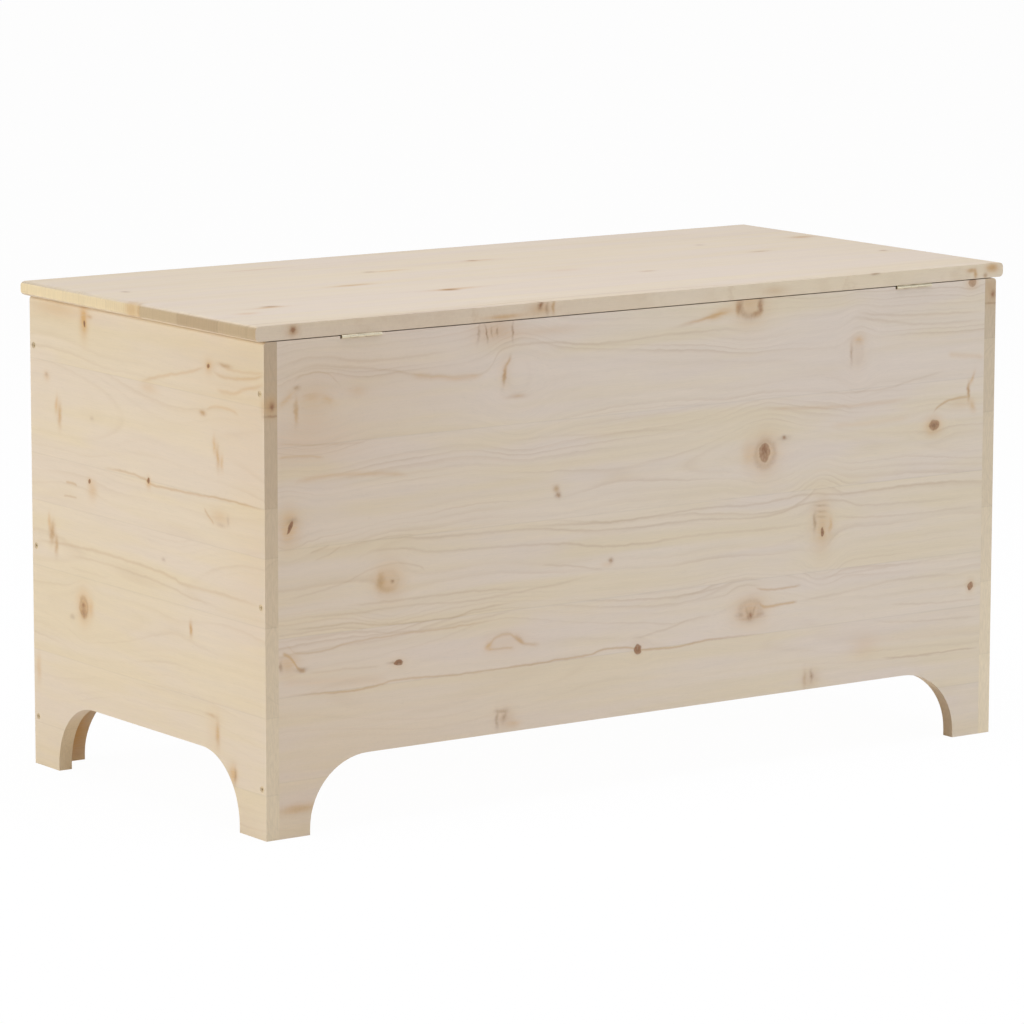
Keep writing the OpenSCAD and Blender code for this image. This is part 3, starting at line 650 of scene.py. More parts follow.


# ---- the boards' own figure ----
# (u, v) in millimetres: u along the grain, in X or Y, and v across it, in Z or on the lid in Y.
# The points of lines are given with u to the nearest 5 mm.

BACK_MARKS = [
    # Painted shade: the back is made darker and warmer towards its left end and in its lowest stave
    smear(520, 260, 330, 420, amber=0.1, brown=0.02),
    smear(330, 40, 420, 100, amber=0.03, brown=0.05),
    smear(400, 480, 130, 60, amber=0.07, brown=0.05),
    # A wide knot that the top edge cuts, with curved cracks
    smear(200, 514, 27, 13, amber=0.32, brown=0.08),
    smear(222, 513, 1.5, 9, brown=0.35, tilt=6),
    smear(212, 512, 1.3, 8, brown=0.55, tilt=-14),
    smear(205, 513, 1.1, 5, brown=0.35, tilt=-10),
    smear(198, 513, 1.2, 4, brown=0.45),
    smear(178, 512, 1.3, 9, brown=0.45),
    smear(135, 509, 50, 5, amber=0.2),
    # A U-shaped ring under the top edge, and the amber streak beside it
    knot(-140, 519, 17, 17, fill=0.05, ring=0.35, amber=0.4, push=0.5),
    smear(-123, 514, 3, 7, amber=0.35, brown=0.3),
    smear(-154, 514, 3, 7, amber=0.25, brown=0.35),
    smear(-148, 507, 5, 3, amber=0.3, brown=0.2),
    smear(-96, 510, 17, 5, amber=0.5, tilt=-14),
    smear(-74, 506, 26, 2, amber=0.4, brown=0.12, tilt=-9),
    knot(-455, 520, 6, 5, fill=0.5, amber=0.5),
    # The swirl near the left edge
    knot(430, 456, 17, 15, fill=0.0, amber=0.16, push=0.8),
    smear(451, 449, 2.6, 12, amber=0.4, brown=0.16),
    smear(463, 462, 12, 4, amber=0.3, tilt=-40),
    smear(433, 463, 11, 3.5, amber=0.25),
    smear(412, 458, 8, 4, amber=0.25, tilt=30),
    smear(449, 473, 4, 2.5, brown=0.28, amber=0.15),
    smear(374, 464, 11, 6, amber=0.2),
    smear(440, 414, 62, 26, amber=0.17),
    # A pale oval with a hooked crack
    knot(170, 464, 17, 22, fill=0.0, ring=0.03, amber=0.0, push=0.8),
    smear(188, 468, 8, 17, amber=0.14),
    smear(184, 479, 1.8, 7, amber=0.35, brown=0.2, tilt=28),
    smear(189, 465, 2.2, 8, amber=0.5, brown=0.4, tilt=8),
    smear(172, 442, 12, 2.4, amber=0.3, brown=0.12),
    # A streaky knot
    knot(-292, 454, 8, 15, fill=0.05, ring=0.0, amber=0.1, push=0.7),
    smear(-292, 468, 9, 5, amber=0.4),
    smear(-282, 453, 2.0, 10, brown=0.32, amber=0.15),
    # Dark knots of the right half
    knot(-402, 362, 7.5, 6.5, fill=0.65, heart=0.5, amber=0.4),
    smear(-400, 361, 13, 10, amber=0.25),
    smear(-452, 397, 2, 9, amber=0.6, brown=0.35),
    smear(-457, 411, 2, 8, amber=0.5, tilt=24),
    smear(-458, 380, 4, 7, amber=0.4, tilt=-20),
    smear(-440, 384, 16, 6, amber=0.2),
    smear(-189, 366, 9, 3.2, brown=0.25),
    smear(-188, 367, 3, 2.4, brown=0.6),
    knot(-162, 351, 15, 17, fill=0.06, ring=0.22, amber=0.32, push=0.65),
    knot(-161, 352, 8, 11.5, fill=0.62, heart=0.3, amber=0.2, push=0.0),
    smear(-160, 356, 3, 4, brown=0.3),
    smear(-138, 352, 9, 13, amber=0.25),
    # Small knots along the middle
    smear(121, 338, 4, 3.5, amber=0.4, brown=0.3),
    smear(118, 331, 3.5, 3.5, amber=0.2, brown=0.55),
    smear(48, 253, 3, 3, amber=0.15, brown=0.55),
    smear(53, 249, 8, 3, amber=0.18),
    # A slit near the left edge
    knot(461, 328, 9, 13, fill=0.0, amber=0.5, push=0.6),
    knot(459, 328, 2.6, 7.5, fill=0.9, heart=0.6, amber=0.0, tilt=26, push=0.0),
    smear(456, 335, 6, 3, brown=0.35),
    # A pale round knot with a crescent
    knot(336, 260, 13, 13, fill=0.0, ring=0.06, amber=0.36, push=0.85),
    smear(347, 260, 5, 9, amber=0.35, brown=0.2),
    smear(338, 251, 9, 3, amber=0.15, brown=0.1),
    smear(332, 259, 2.4, 2, brown=0.6),
    # A tall knot with arcs
    knot(-243, 263, 9, 20, fill=0.0, amber=0.4, push=0.7),
    knot(-244, 256, 2.6, 5.5, fill=0.8, heart=0.3, amber=0.2, push=0.0),
    smear(-232, 268, 2.2, 9, brown=0.45),
    smear(-255, 262, 2.5, 8, amber=0.4),
    smear(-241, 286, 9, 1.6, brown=0.3, tilt=6),
    smear(-242, 279, 8, 1.5, brown=0.25, tilt=8),
    smear(-242, 273, 7, 1.5, brown=0.22, tilt=8),
    # A fan on a flat base
    knot(-143, 178, 17, 13, fill=0.04, ring=0.15, amber=0.35, push=0.75),
    smear(-143, 179, 13, 8, amber=0.1, brown=0.1),
    smear(-143, 172, 4, 4, brown=0.65),
    smear(-138, 178, 1.5, 5, brown=0.2, tilt=-20),
    smear(-149, 178, 1.5, 5, brown=0.2, tilt=20),
    smear(-127, 174, 6, 2.5, brown=0.2),
    smear(-157, 172, 6, 2.5, brown=0.2),
    # Small dark knots of the lower half
    knot(11, 151, 5.5, 6, fill=0.85, heart=0.2, amber=0.2),
    knot(324, 171, 6, 3.5, fill=0.8, heart=0.6, amber=0.25, push=0.5),
    smear(332, 172, 7, 1.5, brown=0.3),
    knot(-459, 173, 3.8, 5, fill=0.75, amber=0.45, push=0.5),
    # A half moon, and a patch with a slanted crack at the left edge
    knot(187, 177, 18, 9, fill=0.0, amber=0.14),
    smear(208, 176, 5, 5, amber=0.4),
    smear(168, 179, 7, 2.5, amber=0.35, brown=0.15, tilt=35),
    smear(462, 185, 12, 10, amber=0.36),
    smear(471, 183, 2, 5, brown=0.5),
    smear(446, 177, 7, 2.2, brown=0.45),
    # Soft knots above the arch, and a band on the foot
    smear(188, 96, 12, 11, amber=0.16, brown=0.08),
    smear(198, 95, 2.2, 9, brown=0.35),
    smear(192, 104, 8, 2.2, brown=0.3),
    smear(188, 97, 3, 6, brown=0.3, tilt=20),
    smear(176, 88, 9, 4, amber=0.3),
    smear(-229, 92, 12, 10, amber=0.15, brown=0.12),
    smear(-220, 92, 3, 9, amber=0.2, brown=0.15),
    smear(-230, 95, 2, 6, brown=0.4),
    smear(-305, 120, 20, 13, amber=0.18),
    smear(450, 30, 24, 5, amber=0.4, brown=0.12),
]
BACK_LINES = [
    Line([(475, 479), (450, 490), (425, 494), (405, 492), (335, 482), (285, 473), (225, 469),
          (200, 486), (180, 496), (150, 497), (65, 490), (-45, 493), (-150, 491)], 0.4, 1.5),
    Line([(475, 492), (455, 500), (425, 503), (385, 497), (330, 494), (260, 497)], 0.32, 1.6),
    Line([(310, 475), (275, 471), (240, 467), (215, 469)], 0.1, 3.0, amber=0.45),
    Line([(455, 478), (440, 486), (420, 487), (405, 480), (395, 468)], 0.35),
    Line([(475, 402), (445, 401), (415, 397)], 0.3, 1.6, amber=0.2),
    Line([(475, 416), (410, 411), (365, 409)], 0.3),
    Line([(455, 371), (420, 378), (375, 377), (310, 369)], 0.1, 2.6, amber=0.4),
    Line([(435, 299), (420, 302), (410, 305)], 0.4),
    Line([(430, 291), (410, 296), (395, 304)], 0.4),
    Line([(410, 288), (385, 302), (345, 305), (285, 301), (165, 298), (30, 286), (-70, 286),
          (-155, 281), (-240, 291), (-300, 281), (-385, 277), (-475, 276)], 0.42, 1.3),
    Line([(195, 306), (110, 298), (20, 295), (-70, 298), (-155, 296), (-220, 300), (-275, 296),
          (-360, 297), (-475, 293)], 0.42, 1.3),
    Line([(390, 284), (365, 291), (340, 294), (285, 286), (195, 282), (130, 279), (5, 267),
          (-50, 269), (-160, 267), (-210, 267), (-235, 277)], 0.5, 1.4),
    Line([(-255, 273), (-370, 264), (-420, 264), (-475, 264)], 0.35),
    Line([(325, 278), (305, 274), (290, 267)], 0.4),
    Line([(465, 252), (430, 257), (390, 264), (345, 277), (310, 278)], 0.3),
    Line([(390, 239), (345, 238), (250, 238), (165, 234)], 0.45),
    Line([(450, 235), (390, 230), (305, 231), (240, 228), (165, 231), (60, 242)], 0.35),
    Line([(470, 226), (435, 220), (390, 220), (345, 214), (260, 212), (230, 217), (165, 221)], 0.5),
    Line([(470, 219), (450, 209), (390, 210), (305, 203), (240, 206), (165, 213)], 0.35),
    Line([(470, 211), (460, 202), (445, 194), (420, 194), (390, 199), (345, 201), (240, 202),
          (200, 206)], 0.5, 1.3, amber=0.15),
    Line([(470, 197), (460, 192), (455, 186), (450, 179), (440, 175)], 0.8, 1.8, amber=0.4),
    Line([(440, 172), (410, 172), (345, 170)], 0.4),
    Line([(140, 257), (95, 251), (55, 242)], 0.4),
    Line([(-50, 204), (-95, 207), (-130, 213), (-160, 210)], 0.35),
    Line([(-70, 196), (-105, 198), (-130, 206), (-160, 203)], 0.3),
    Line([(-150, 202), (-180, 198), (-215, 199)], 0.75, 1.3, amber=0.3),
    Line([(-155, 188), (-165, 180), (-185, 180), (-210, 181)], 0.9, 1.7, amber=0.5),
    Line([(-205, 181), (-255, 183), (-290, 186), (-375, 191), (-440, 188)], 0.35, 1.5),
    Line([(-230, 204), (-325, 207), (-445, 210)], 0.25),
    Line([(-120, 170), (-140, 169), (-170, 169)], 0.4),
    Line([(-90, 178), (-60, 176), (-20, 168), (20, 163)], 0.35),
    Line([(215, 174), (205, 180), (200, 184), (185, 187), (175, 182), (160, 174), (140, 171)],
         0.5, 2.0, amber=0.2),
    Line([(210, 172), (195, 172), (175, 171)], 0.5, 1.5, amber=0.15),
    # The long glue line above the lowest stave
    Line([(475, 151), (430, 150), (380, 148), (345, 151), (325, 153), (240, 150), (130, 151),
          (75, 152), (50, 156), (10, 151), (-40, 148), (-85, 151), (-170, 146)],
         0.75, 1.2, amber=0.25),
    Line([(475, 167), (400, 160), (335, 154)], 0.0, 5.0, amber=0.2),
    Line([(-330, 105), (-375, 101), (-425, 101), (-475, 100)], 0.6, 1.1),
    Line([(-340, 165), (-400, 159), (-475, 157)], 0.3),
    Line([(-315, 148), (-375, 141), (-475, 137)], 0.3),
    Line([(-280, 493), (-315, 488), (-405, 477), (-475, 477)], 0.3, 1.6),
    Line([(-285, 499), (-335, 492), (-405, 488), (-475, 486)], 0.4, 1.5),
    Line([(-230, 413), (-320, 409), (-360, 414), (-420, 424)], 0.3),
    Line([(-160, 401), (-205, 398), (-310, 394), (-370, 396)], 0.1, 2.2, amber=0.3),
    Line([(-250, 374), (-310, 373), (-370, 374)], 0.0, 3.0, amber=0.2),
    Line([(-420, 441), (-445, 438), (-475, 434)], 0.0, 3.0, amber=0.35),
    Line([(-400, 376), (-415, 386), (-430, 390), (-455, 391)], 0.9, 1.5, amber=0.4),
    Line([(195, 393), (140, 395), (65, 392), (10, 391), (-80, 380)], 0.2),
]
SIDE_MARKS = [
    # Warmer wood towards the rear
    smear(190, 470, 120, 70, amber=0.1),
    smear(230, 300, 70, 160, amber=0.1),
    smear(-175, 514, 55, 9, amber=0.28),
    smear(-122, 508, 8, 18, amber=0.7),
    knot(-121, 504, 2.2, 3.8, fill=0.9, heart=0.6, amber=0.3, push=0.3),
    smear(-110, 513, 5, 2, amber=0.3, brown=0.12),
    smear(-203, 438, 6, 5, amber=0.3),
    smear(-203, 440, 3, 2, brown=0.3),
    smear(-183, 409, 3, 9, amber=0.5, tilt=-8),
    smear(-176, 398, 4, 12, amber=0.55, brown=0.15),
    smear(-107, 403, 4, 2.5, brown=0.2),
    smear(132, 487, 9, 8, amber=0.32),
    knot(131, 487, 2.8, 2.8, fill=0.8, heart=0.6, amber=0.4, push=0.4),
    smear(163, 491, 12, 2.5, amber=0.3, brown=0.3),
    smear(10, 450, 16, 6, amber=0.25),
    smear(119, 436, 6, 3, amber=0.5, brown=0.35),
    smear(141, 405, 3, 9, amber=0.45),
    smear(148, 393, 3.5, 12, amber=0.5, brown=0.12, tilt=4),
    smear(156, 388, 3, 8, amber=0.45),
    knot(9, 350, 3, 3.2, fill=0.95, heart=0.5, amber=0.4),
    smear(9, 346, 5, 5, amber=0.35),
    knot(-114, 333, 2.8, 2.4, fill=0.8, heart=0.5, amber=0.4, push=0.3),
    smear(-108, 324, 9, 10, amber=0.38),
    smear(150, 330, 18, 8, amber=0.28),
    smear(153, 322, 9, 2, brown=0.2),
    smear(167, 328, 2.5, 5, brown=0.2),
    smear(-201, 277, 3, 9, amber=0.4),
    smear(-195, 266, 5, 11, amber=0.5, brown=0.35, tilt=-8),
    smear(-186, 253, 3.5, 10, amber=0.4, brown=0.25),
    knot(-129, 192, 9, 12, fill=0.2, ring=0.35, amber=0.65),
    smear(-129, 186, 5, 5, brown=0.45),
    smear(-130, 194, 3, 2.5, brown=0.6),
    smear(-113, 193, 5, 10, amber=0.35),
    smear(-153, 178, 5, 3, brown=0.3),
    smear(92, 202, 3, 7, amber=0.7, brown=0.2),
    smear(38, 269, 4, 2.5, brown=0.25),
    smear(-228, 109, 5, 15, amber=0.35),
    smear(138, 102, 14, 22, amber=0.14),
    smear(144, 98, 4, 13, amber=0.45, brown=0.1),
    smear(131, 116, 10, 2, amber=0.25, brown=0.12),
    smear(174, 60, 8, 10, amber=0.6),
    smear(178, 59, 2.2, 8, brown=0.4),
    # A knot in the rear edge
    spot(239, 456, 0.5, 7, 10, 9, amber=0.5, brown=0.15),
    spot(239, 456, -1.5, 6, 4.5, 3, brown=0.75),
    spot(239, 446, -1, 6, 1.2, 9, brown=0.5),
]
SIDE_LINES = [
    Line([(-5, 456), (45, 467), (100, 478), (125, 485)], 0.25, 1.8, amber=0.4),
    Line([(140, 482), (160, 479), (190, 480), (240, 490)], 0.35, 1.8, amber=0.3),
    Line([(160, 488), (200, 488), (240, 493)], 0.15, 1.6, amber=0.25),
    Line([(145, 464), (170, 463), (200, 470), (240, 480)], 0.15, 2.2, amber=0.35),
    Line([(125, 440), (160, 446), (190, 441)], 0.1, 1.8, amber=0.35),
    Line([(-85, 351), (-35, 353), (0, 351), (30, 346), (50, 347), (110, 348), (160, 350),
          (240, 349)], 0.5, 1.3, amber=0.35),
    Line([(-165, 326), (-155, 326), (-140, 325)], 0.55, 1.3, amber=0.3),
    Line([(-170, 310), (-155, 311), (-140, 311)], 0.5, 1.1, amber=0.2),
    Line([(120, 335), (130, 328), (140, 321)], 0.5, 1.6, amber=0.3),
    Line([(-240, 247), (-170, 256), (-85, 258), (-30, 257), (60, 252), (80, 248), (160, 249),
          (240, 244)], 0.42, 1.8, amber=0.1),
    Line([(-165, 244), (-100, 247), (-40, 246), (55, 241), (95, 236), (145, 235)], 0.35, 1.4),
    Line([(-160, 233), (-115, 232), (-75, 232)], 0.25),
]
LID_MARKS = [
    smear(458, -88, 4, 5, brown=0.5),
    smear(398, 107, 9, 5, amber=0.3, brown=0.5),
    smear(404, 113, 22, 4, amber=0.45),
    smear(449, 142, 14, 7, amber=0.35),
    smear(142, -89, 7, 5, brown=0.35),
    smear(118, -86, 24, 3.5, amber=0.45),
    smear(225, 1, 26, 5, amber=0.5, brown=0.16),
    smear(159, 93, 10, 6, amber=0.4, brown=0.6),
    smear(150, 90, 34, 6, amber=0.45),
    smear(-14, -114, 6, 5, amber=0.2, brown=0.4),
    smear(-24, -112, 24, 5, amber=0.35),
    smear(232, -178, 40, 4, amber=0.25, brown=0.08),
    smear(-321, -92, 6, 5, brown=0.25),
    smear(-119, 78, 9, 4, amber=0.35, brown=0.2),
    smear(-49, 19, 22, 9, amber=0.2),
    smear(-470, -90, 16, 8, amber=0.45, brown=0.18),
    smear(-339, -2, 14, 4, amber=0.2, brown=0.3),
    smear(-461, 72, 5, 5, amber=0.25, brown=0.4),
    # The browner half of the rear edge, and the knots in it
    spot(330, 240, 0, 260, 7, 40, amber=0.04, brown=0.14),
    spot(454, 239, 1, 7, 7, 6, amber=0.45, brown=0.3),
    spot(454, 239, 2, 3, 4, 3, brown=0.7),
    spot(141, 239, 1, 16, 8, 7, amber=0.4, brown=0.12),
    spot(142, 239, 5, 3, 8, 4, brown=0.75),
    spot(133, 239, 1, 2, 6, 7, brown=0.35),
    spot(125, 239, 2, 2, 6, 7, amber=0.5, brown=0.2),
    spot(188, 240, -4, 24, 5, 2.5, amber=0.6, brown=0.1),
    spot(-173, 240, -2, 16, 7, 5, amber=0.25, brown=0.1),
    spot(-315, 238, 8, 6, 3, 2, brown=0.6),
    spot(-453, 240, 2, 7, 9, 2.5, amber=0.6, brown=0.25),
    spot(-459, 240, -3, 2.5, 9, 5, amber=0.7, brown=0.2),
    spot(-484, 239, 3, 8, 8, 5, amber=0.75, brown=0.2),
    spot(-474, 239, -5, 3, 8, 2.5, amber=0.3, brown=0.5),
    # The amber streak across the right end
    spot(502, -6, 0, 10, 12, 14, amber=0.45, brown=0.1),
    spot(502, 8, 0, 8, 2.5, 14, amber=0.3, brown=0.2),
]

# A knot in the far end's rear edge
FAR_EDGE_MARKS = [
    spot(239, 510, 0, 6, 17, 12, amber=0.3, brown=0.15),
    spot(239, 505, -4, 6, 4, 3, brown=0.8),
    spot(239, 495, 0, 6, 1.2, 12, brown=0.4),
]

SIDE_END_TONES = [0.75, 0.7, 0.62, 0.5, 0.4, 0.22, 0.08]
FAR_END_TONES = [1.0, 0.9, 0.8, 0.65, 0.5, 0.35]
# The lid's end is light on its front staves and brown on its rear ones: partly the staves' own
# tones, partly painted light, brighter at the front and shaded at the rear
LID_END_TONES_AND_PAINTED_LIGHT = [1.0, 0.95, 0.85, 0.2, 0.0, 0.1]
BACK_STAVES = [0, 60, 150, 212, 305, 412, 523]
SIDE_STAVES = [0, 48, 130, 225, 298, 350, 455, 523]
LID_STAVES = [-240, -150, -60, 10, 85, 165, 238]


def make_batten(name, axes, reach, count, seed):
    marks = scattered_marks(seed, (-reach, reach), (82, 100), count)
    return Board(f"batten_{name}", axes, [60, 110], marks, seed=seed, slot="pine_inside")


def make_cleat(name, low, seed):
    marks = scattered_marks(seed, (-180, 180), (low + 40, low + 80), 3)
    settings = {"seed": seed, "body": "lid", "slot": "pine_inside"}
    return Board(f"lid_cleat_{name}", "YXZ", [low, low + 120], marks, **settings)


BOARDS = [
    Board("back_panel", "XZY", BACK_STAVES, BACK_MARKS, BACK_LINES, seed=1, calm_below=150),
    Board(
        "side_panel_right", "YZX", SIDE_STAVES, SIDE_MARKS, SIDE_LINES, seed=2,
        end_tones=SIDE_END_TONES, ring_depth=0.26, mottle=0.7,
    ),
    Board(
        "lid_panel", "XYZ", LID_STAVES, LID_MARKS, seed=3, body="lid",
        quarter_sawn=True, end_tones=LID_END_TONES_AND_PAINTED_LIGHT, tint=(1.0, 0.98, 0.92), mottle=0.5,
    ),
    Board(
        "front_panel", "XZY", [0, 75, 168, 250, 340, 441, 523],
        # The deep amber spot on the front foot's inner face is painted shade: it darkens and warms
        # wood that lies in shade under the box
        [spot(456, 40, 8, 26, 38, 9, amber=0.95), *scattered_marks(44, (-460, 460), (20, 510), 22)],
        seed=4,
    ),
    Board(
        "side_panel_left", "YZX", [0, 92, 176, 262, 371, 455, 523],
        [*FAR_EDGE_MARKS, *scattered_marks(55, (-230, 230), (20, 510), 12)],
        seed=5, end_tones=FAR_END_TONES,
    ),
    Board(
        "bottom_panel", "XYZ", [-222, -130, -38, 66, 150, 222],
        scattered_marks(66, (-460, 460), (-210, 210), 14), seed=6, slot="pine_inside",
    ),
    make_batten("front", "XZY", reach=450, count=5, seed=7),
    make_batten("back", "XZY", reach=450, count=5, seed=8),
    make_batten("left", "YZX", reach=200, count=3, seed=9),
    make_batten("right", "YZX", reach=200, count=3, seed=10),
    Board(
        "batten_middle", "YXZ", [-60, 60],
        scattered_marks(11, (-200, 200), (-20, 20), 3), seed=11, slot="pine_inside",
    ),
    make_cleat("left", low=-360, seed=12),
    make_cleat("right", low=240, seed=13),
]


# ---- meshes ----

HOLE_SIZE = 12 * MM
EDGE_ROUNDING = 0.6 * MM
SHARP = math.radians(30)
SHADED_SHARP = math.radians(40)
FLAT = math.radians(0.5)
SAME_POINT = 1e-6


def wall_regions(mesh, through):
    """Groups of joined faces along the board's thickness: its outer walls and its holes."""
    walls = {f for f in mesh.faces if abs(f.normal[through]) < 0.5}
    regions = []
    while walls:
        region = set()
        waiting = [walls.pop()]
        while waiting:
            face = waiting.pop()
            region.add(face)
            for edge in face.edges:
                for other in edge.link_faces:
                    if other in walls:
                        walls.discard(other)
                        waiting.append(other)
        regions.append(region)
    return regions


def extent(faces):
    """The longest side of the box round these faces."""
    points = [v.co for f in faces for v in f.verts]
    return max(max(p[i] for p in points) - min(p[i] for p in points) for i in range(3))


def soften(node, through):
    """Copy of a CAD solid with its outer edges rounded. The rims of its holes stay sharp."""
    mesh = bmesh.new()
    mesh.from_mesh(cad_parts[node].data)
    bmesh.ops.remove_doubles(mesh, verts=mesh.verts, dist=SAME_POINT)
    bmesh.ops.dissolve_limit(
        mesh, angle_limit=FLAT, use_dissolve_boundaries=False,
        verts=mesh.verts, edges=mesh.edges,
    )
    outer = set()
    for region in wall_regions(mesh, through):
        if extent(region) > HOLE_SIZE:
            outer |= region
    chosen = []
    for edge in mesh.edges:
        if len(edge.link_faces) != 2 or not edge.is_convex:
            continue
        if edge.calc_face_angle(0) > SHARP and any(f in outer for f in edge.link_faces):
            chosen.append(edge)
    bmesh.ops.bevel(
        mesh, geom=chosen, offset=EDGE_ROUNDING, segments=2, profile=0.5, affect="EDGES",
        clamp_overlap=True, loop_slide=True,
    )
    data = bpy.data.meshes.new(f"{node}_soft")
    mesh.to_mesh(data)
    mesh.free()
    for polygon in data.polygons:
        polygon.use_smooth = True
    data.set_sharp_from_angle(angle=SHADED_SHARP)
    piece = add_object(f"{node}_piece", data)
    weights = piece.modifiers.new("flat_faces", "WEIGHTED_NORMAL")
    weights.keep_sharp = True
    return piece


def make_boards():
    """Puts a softened copy in each board's place."""
    for board in BOARDS:
        piece = soften(board.node, "XYZ".index(board.axes[2]))
        set_material(piece, pine(board))
        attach(piece, board.body)
        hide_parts(board.node)


# ---- metal and felt ----

STAIN_SIZE = 6 * MM
SCRATCH_CONTRAST = 0.12
SCRATCH_DEPTH = 0.05 * MM
FLUFF_SIZE = 0.4 * MM
FELT_PATCH_SIZE = 2 * MM
FELT_DEPTH = 0.2 * MM
FELT_LIGHT = srgb(126, 118, 108)
FELT_DARK = srgb(92, 86, 80)


def metal(name, colour, roughness, brushed, seed):
    """Plated or bare metal with faint stains, and scratches of the brushed size in millimetres."""
    material, graph = new_material(name)
    point = graph.tree.nodes.new("ShaderNodeTexCoord").outputs["Object"]
    scratches = graph.noise(point, tuple(b * MM for b in brushed), seed, 3.0)
    stains = graph.noise(point, (STAIN_SIZE,) * 3, seed + 1, 3.0)
    tone = graph.times_plus(stains, 0.3, 0.82)
    shade = graph.times(tone, graph.contrast(scratches, SCRATCH_CONTRAST))
    base = graph.mix(1.0, colour, graph.combine(shade, shade, shade), "MULTIPLY")
    rough = graph.times_plus(stains, 0.2, roughness - 0.1)
    height = graph.times_plus(scratches, 1.0, stains)
    normal = graph.bump(height, 0.2, SCRATCH_DEPTH)
    inputs = {"Base Color": base, "Metallic": 1.0, "Roughness": rough, "Normal": normal}
    finish_material(graph, inputs)
    return material


def felt():
    material, graph = new_material("felt")
    point = graph.tree.nodes.new("ShaderNodeTexCoord").outputs["Object"]
    fluff = graph.noise(point, (FLUFF_SIZE,) * 3, 3, 3.0)
    patches = graph.noise(point, (FELT_PATCH_SIZE,) * 3, 5, 2.0)
    dark = graph.times_plus(patches, 0.5, 0.2)
    colour = graph.mix(dark, FELT_LIGHT, FELT_DARK)
    normal = graph.bump(fluff, 0.6, FELT_DEPTH)
    inputs = {"Base Color": colour, "Roughness": 0.95, "Sheen Weight": 0.4, "Normal": normal}
    finish_material(graph, inputs)
    return material


def make_fittings():
    """Gives the metal and felt nodes of the CAD model their materials."""
    plated = metal("pale_plating", srgb(219, 205, 172), 0.4, (8, 0.3, 0.3), 1)
    steel = metal("zinc_steel", srgb(196, 198, 196), 0.38, (0.3, 6, 6), 2)
    screw = metal("screw_steel", srgb(224, 206, 172), 0.55, (1, 1, 1), 3)
    pads = felt()
    for name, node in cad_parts.items():
        if name.startswith("hinge_"):
            material = plated
        elif name.startswith("stay_") and "screws" not in name:
            material = steel
        elif "screws" in name:
            material = screw
        elif name == "lid_pads":
            material = pads
        else:
            continue
        set_material(node, material)


def make_dowels():
    """Gives the dowels plain pine."""
    board = Board("corner_dowels", "XZY", [0, 600], seed=20)
    set_material(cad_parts[board.node], pine(board))


# ---- studio ----

# The photo's viewing angle: a place in metres, degrees, and a lens in millimetres
CAMERA_PLACE = Vector((3.3805, 4.7696, 1.2390))
CAMERA_YAW = -125.245
CAMERA_PITCH = -9.423
CAMERA_ROLL = 0.104
CAMERA_LENS = 186.0
CAMERA_REACH = 60
LIGHT_TARGET = Vector((0, 0, 0.25))
FLOOR_HALF_SIZE = 30
FLOOR_GAP = 0.5 * MM
FLOOR_WHITE = 0.97


def make_camera():
    data = bpy.data.cameras.new("camera")
    data.lens = CAMERA_LENS
    data.clip_end = CAMERA_REACH
    camera = add_object("camera", data)
    yaw, pitch = math.radians(CAMERA_YAW), math.radians(CAMERA_PITCH)
    level = math.cos(pitch)
    ahead = Vector((level * math.cos(yaw), level * math.sin(yaw), math.sin(pitch)))
    roll = Matrix.Rotation(math.radians(CAMERA_ROLL), 3, "Z")
    turn = ahead.to_track_quat("-Z", "Y").to_matrix() @ roll
    camera.matrix_world = Matrix.Translation(CAMERA_PLACE) @ turn.to_4x4()
    bpy.context.scene.camera = camera


def make_light(name, place, size, power, colour):
    """A round soft light that faces the box."""
    data = bpy.data.lights.new(name, "AREA")
    data.shape = "DISK"
    data.size = size
    data.energy = power
    data.color = colour
    light = add_object(name, data)
    place = Vector(place)
    turn = (LIGHT_TARGET - place).to_track_quat("-Z", "Y").to_matrix()
    light.matrix_world = Matrix.Translation(place) @ turn.to_4x4()


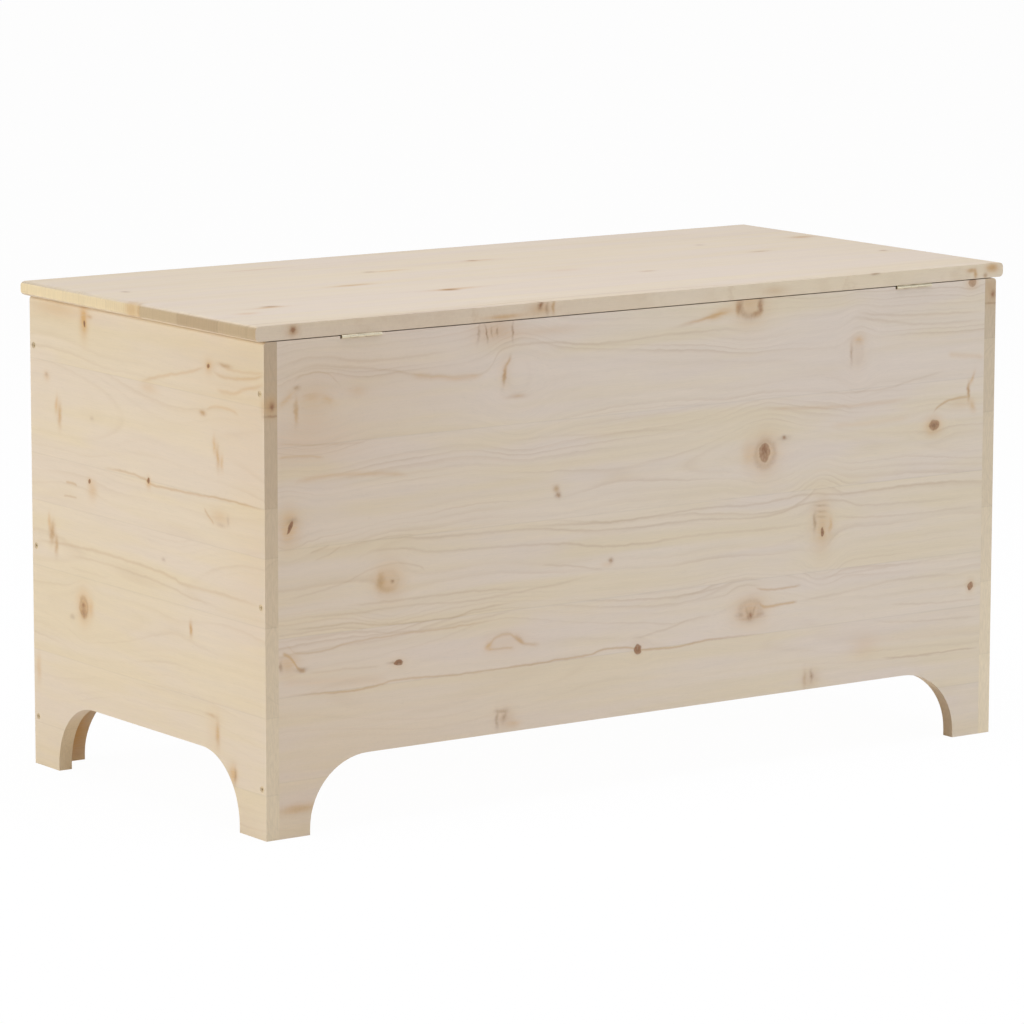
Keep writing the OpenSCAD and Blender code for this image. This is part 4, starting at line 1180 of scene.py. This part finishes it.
def make_floor():
    """White floor that stays white beside the box and shades softly under it."""
    mesh = bmesh.new()
    bmesh.ops.create_grid(mesh, x_segments=1, y_segments=1, size=FLOOR_HALF_SIZE)
    data = bpy.data.meshes.new("floor")
    mesh.to_mesh(data)
    mesh.free()
    floor = add_object("floor", data)
    floor.location.z = -FLOOR_GAP
    material, graph = new_material("floor_white")
    seen = graph.tree.nodes.new("ShaderNodeLightPath").outputs["Is Camera Ray"]
    plain = graph.add("ShaderNodeBsdfDiffuse", {"Color": (0.86, 0.86, 0.86, 1)})
    bounce = graph.add("ShaderNodeEmission", {"Color": (1, 0.86, 0.72, 1), "Strength": 0.2})
    shaded = graph.add("ShaderNodeAddShader", {0: plain, 1: bounce})
    white = graph.add("ShaderNodeEmission", {"Color": (1, 1, 1, 1), "Strength": 1.0})
    blank = graph.times(seen, FLOOR_WHITE)
    surface = graph.add("ShaderNodeMixShader", {0: blank, 1: shaded, 2: white})
    graph.add("ShaderNodeOutputMaterial", {"Surface": surface})
    data.materials.append(material)


def make_world():
    """Soft light from all sides, in front of plain white."""
    world = bpy.data.worlds.new("studio")
    world.use_nodes = True
    graph = Graph(world.node_tree)
    world.node_tree.nodes.clear()
    seen = graph.tree.nodes.new("ShaderNodeLightPath").outputs["Is Camera Ray"]
    light = graph.add("ShaderNodeBackground", {"Color": (1, 1, 1, 1), "Strength": 0.28})
    blank = graph.add("ShaderNodeBackground", {"Color": (1, 1, 1, 1), "Strength": 1.0})
    surface = graph.add("ShaderNodeMixShader", {0: seen, 1: light, 2: blank})
    graph.add("ShaderNodeOutputWorld", {"Surface": surface})
    bpy.context.scene.world = world


def make_studio():
    make_camera()
    make_world()
    make_floor()
    make_light("key", (3.4, -0.8, 1.2), size=2.6, power=42, colour=(1.0, 0.99, 0.895))
    make_light("top", (0.0, 0.4, 3.4), size=3.0, power=100, colour=(0.745, 0.80, 1.0))
    make_light("fill", (-2.6, 3.4, 1.0), size=3.0, power=41, colour=(0.69, 0.81, 1.0))
    view = bpy.context.scene.view_settings
    view.view_transform = "Standard"
    view.look = "None"


make_studio()
make_boards()
make_fittings()
make_dowels()
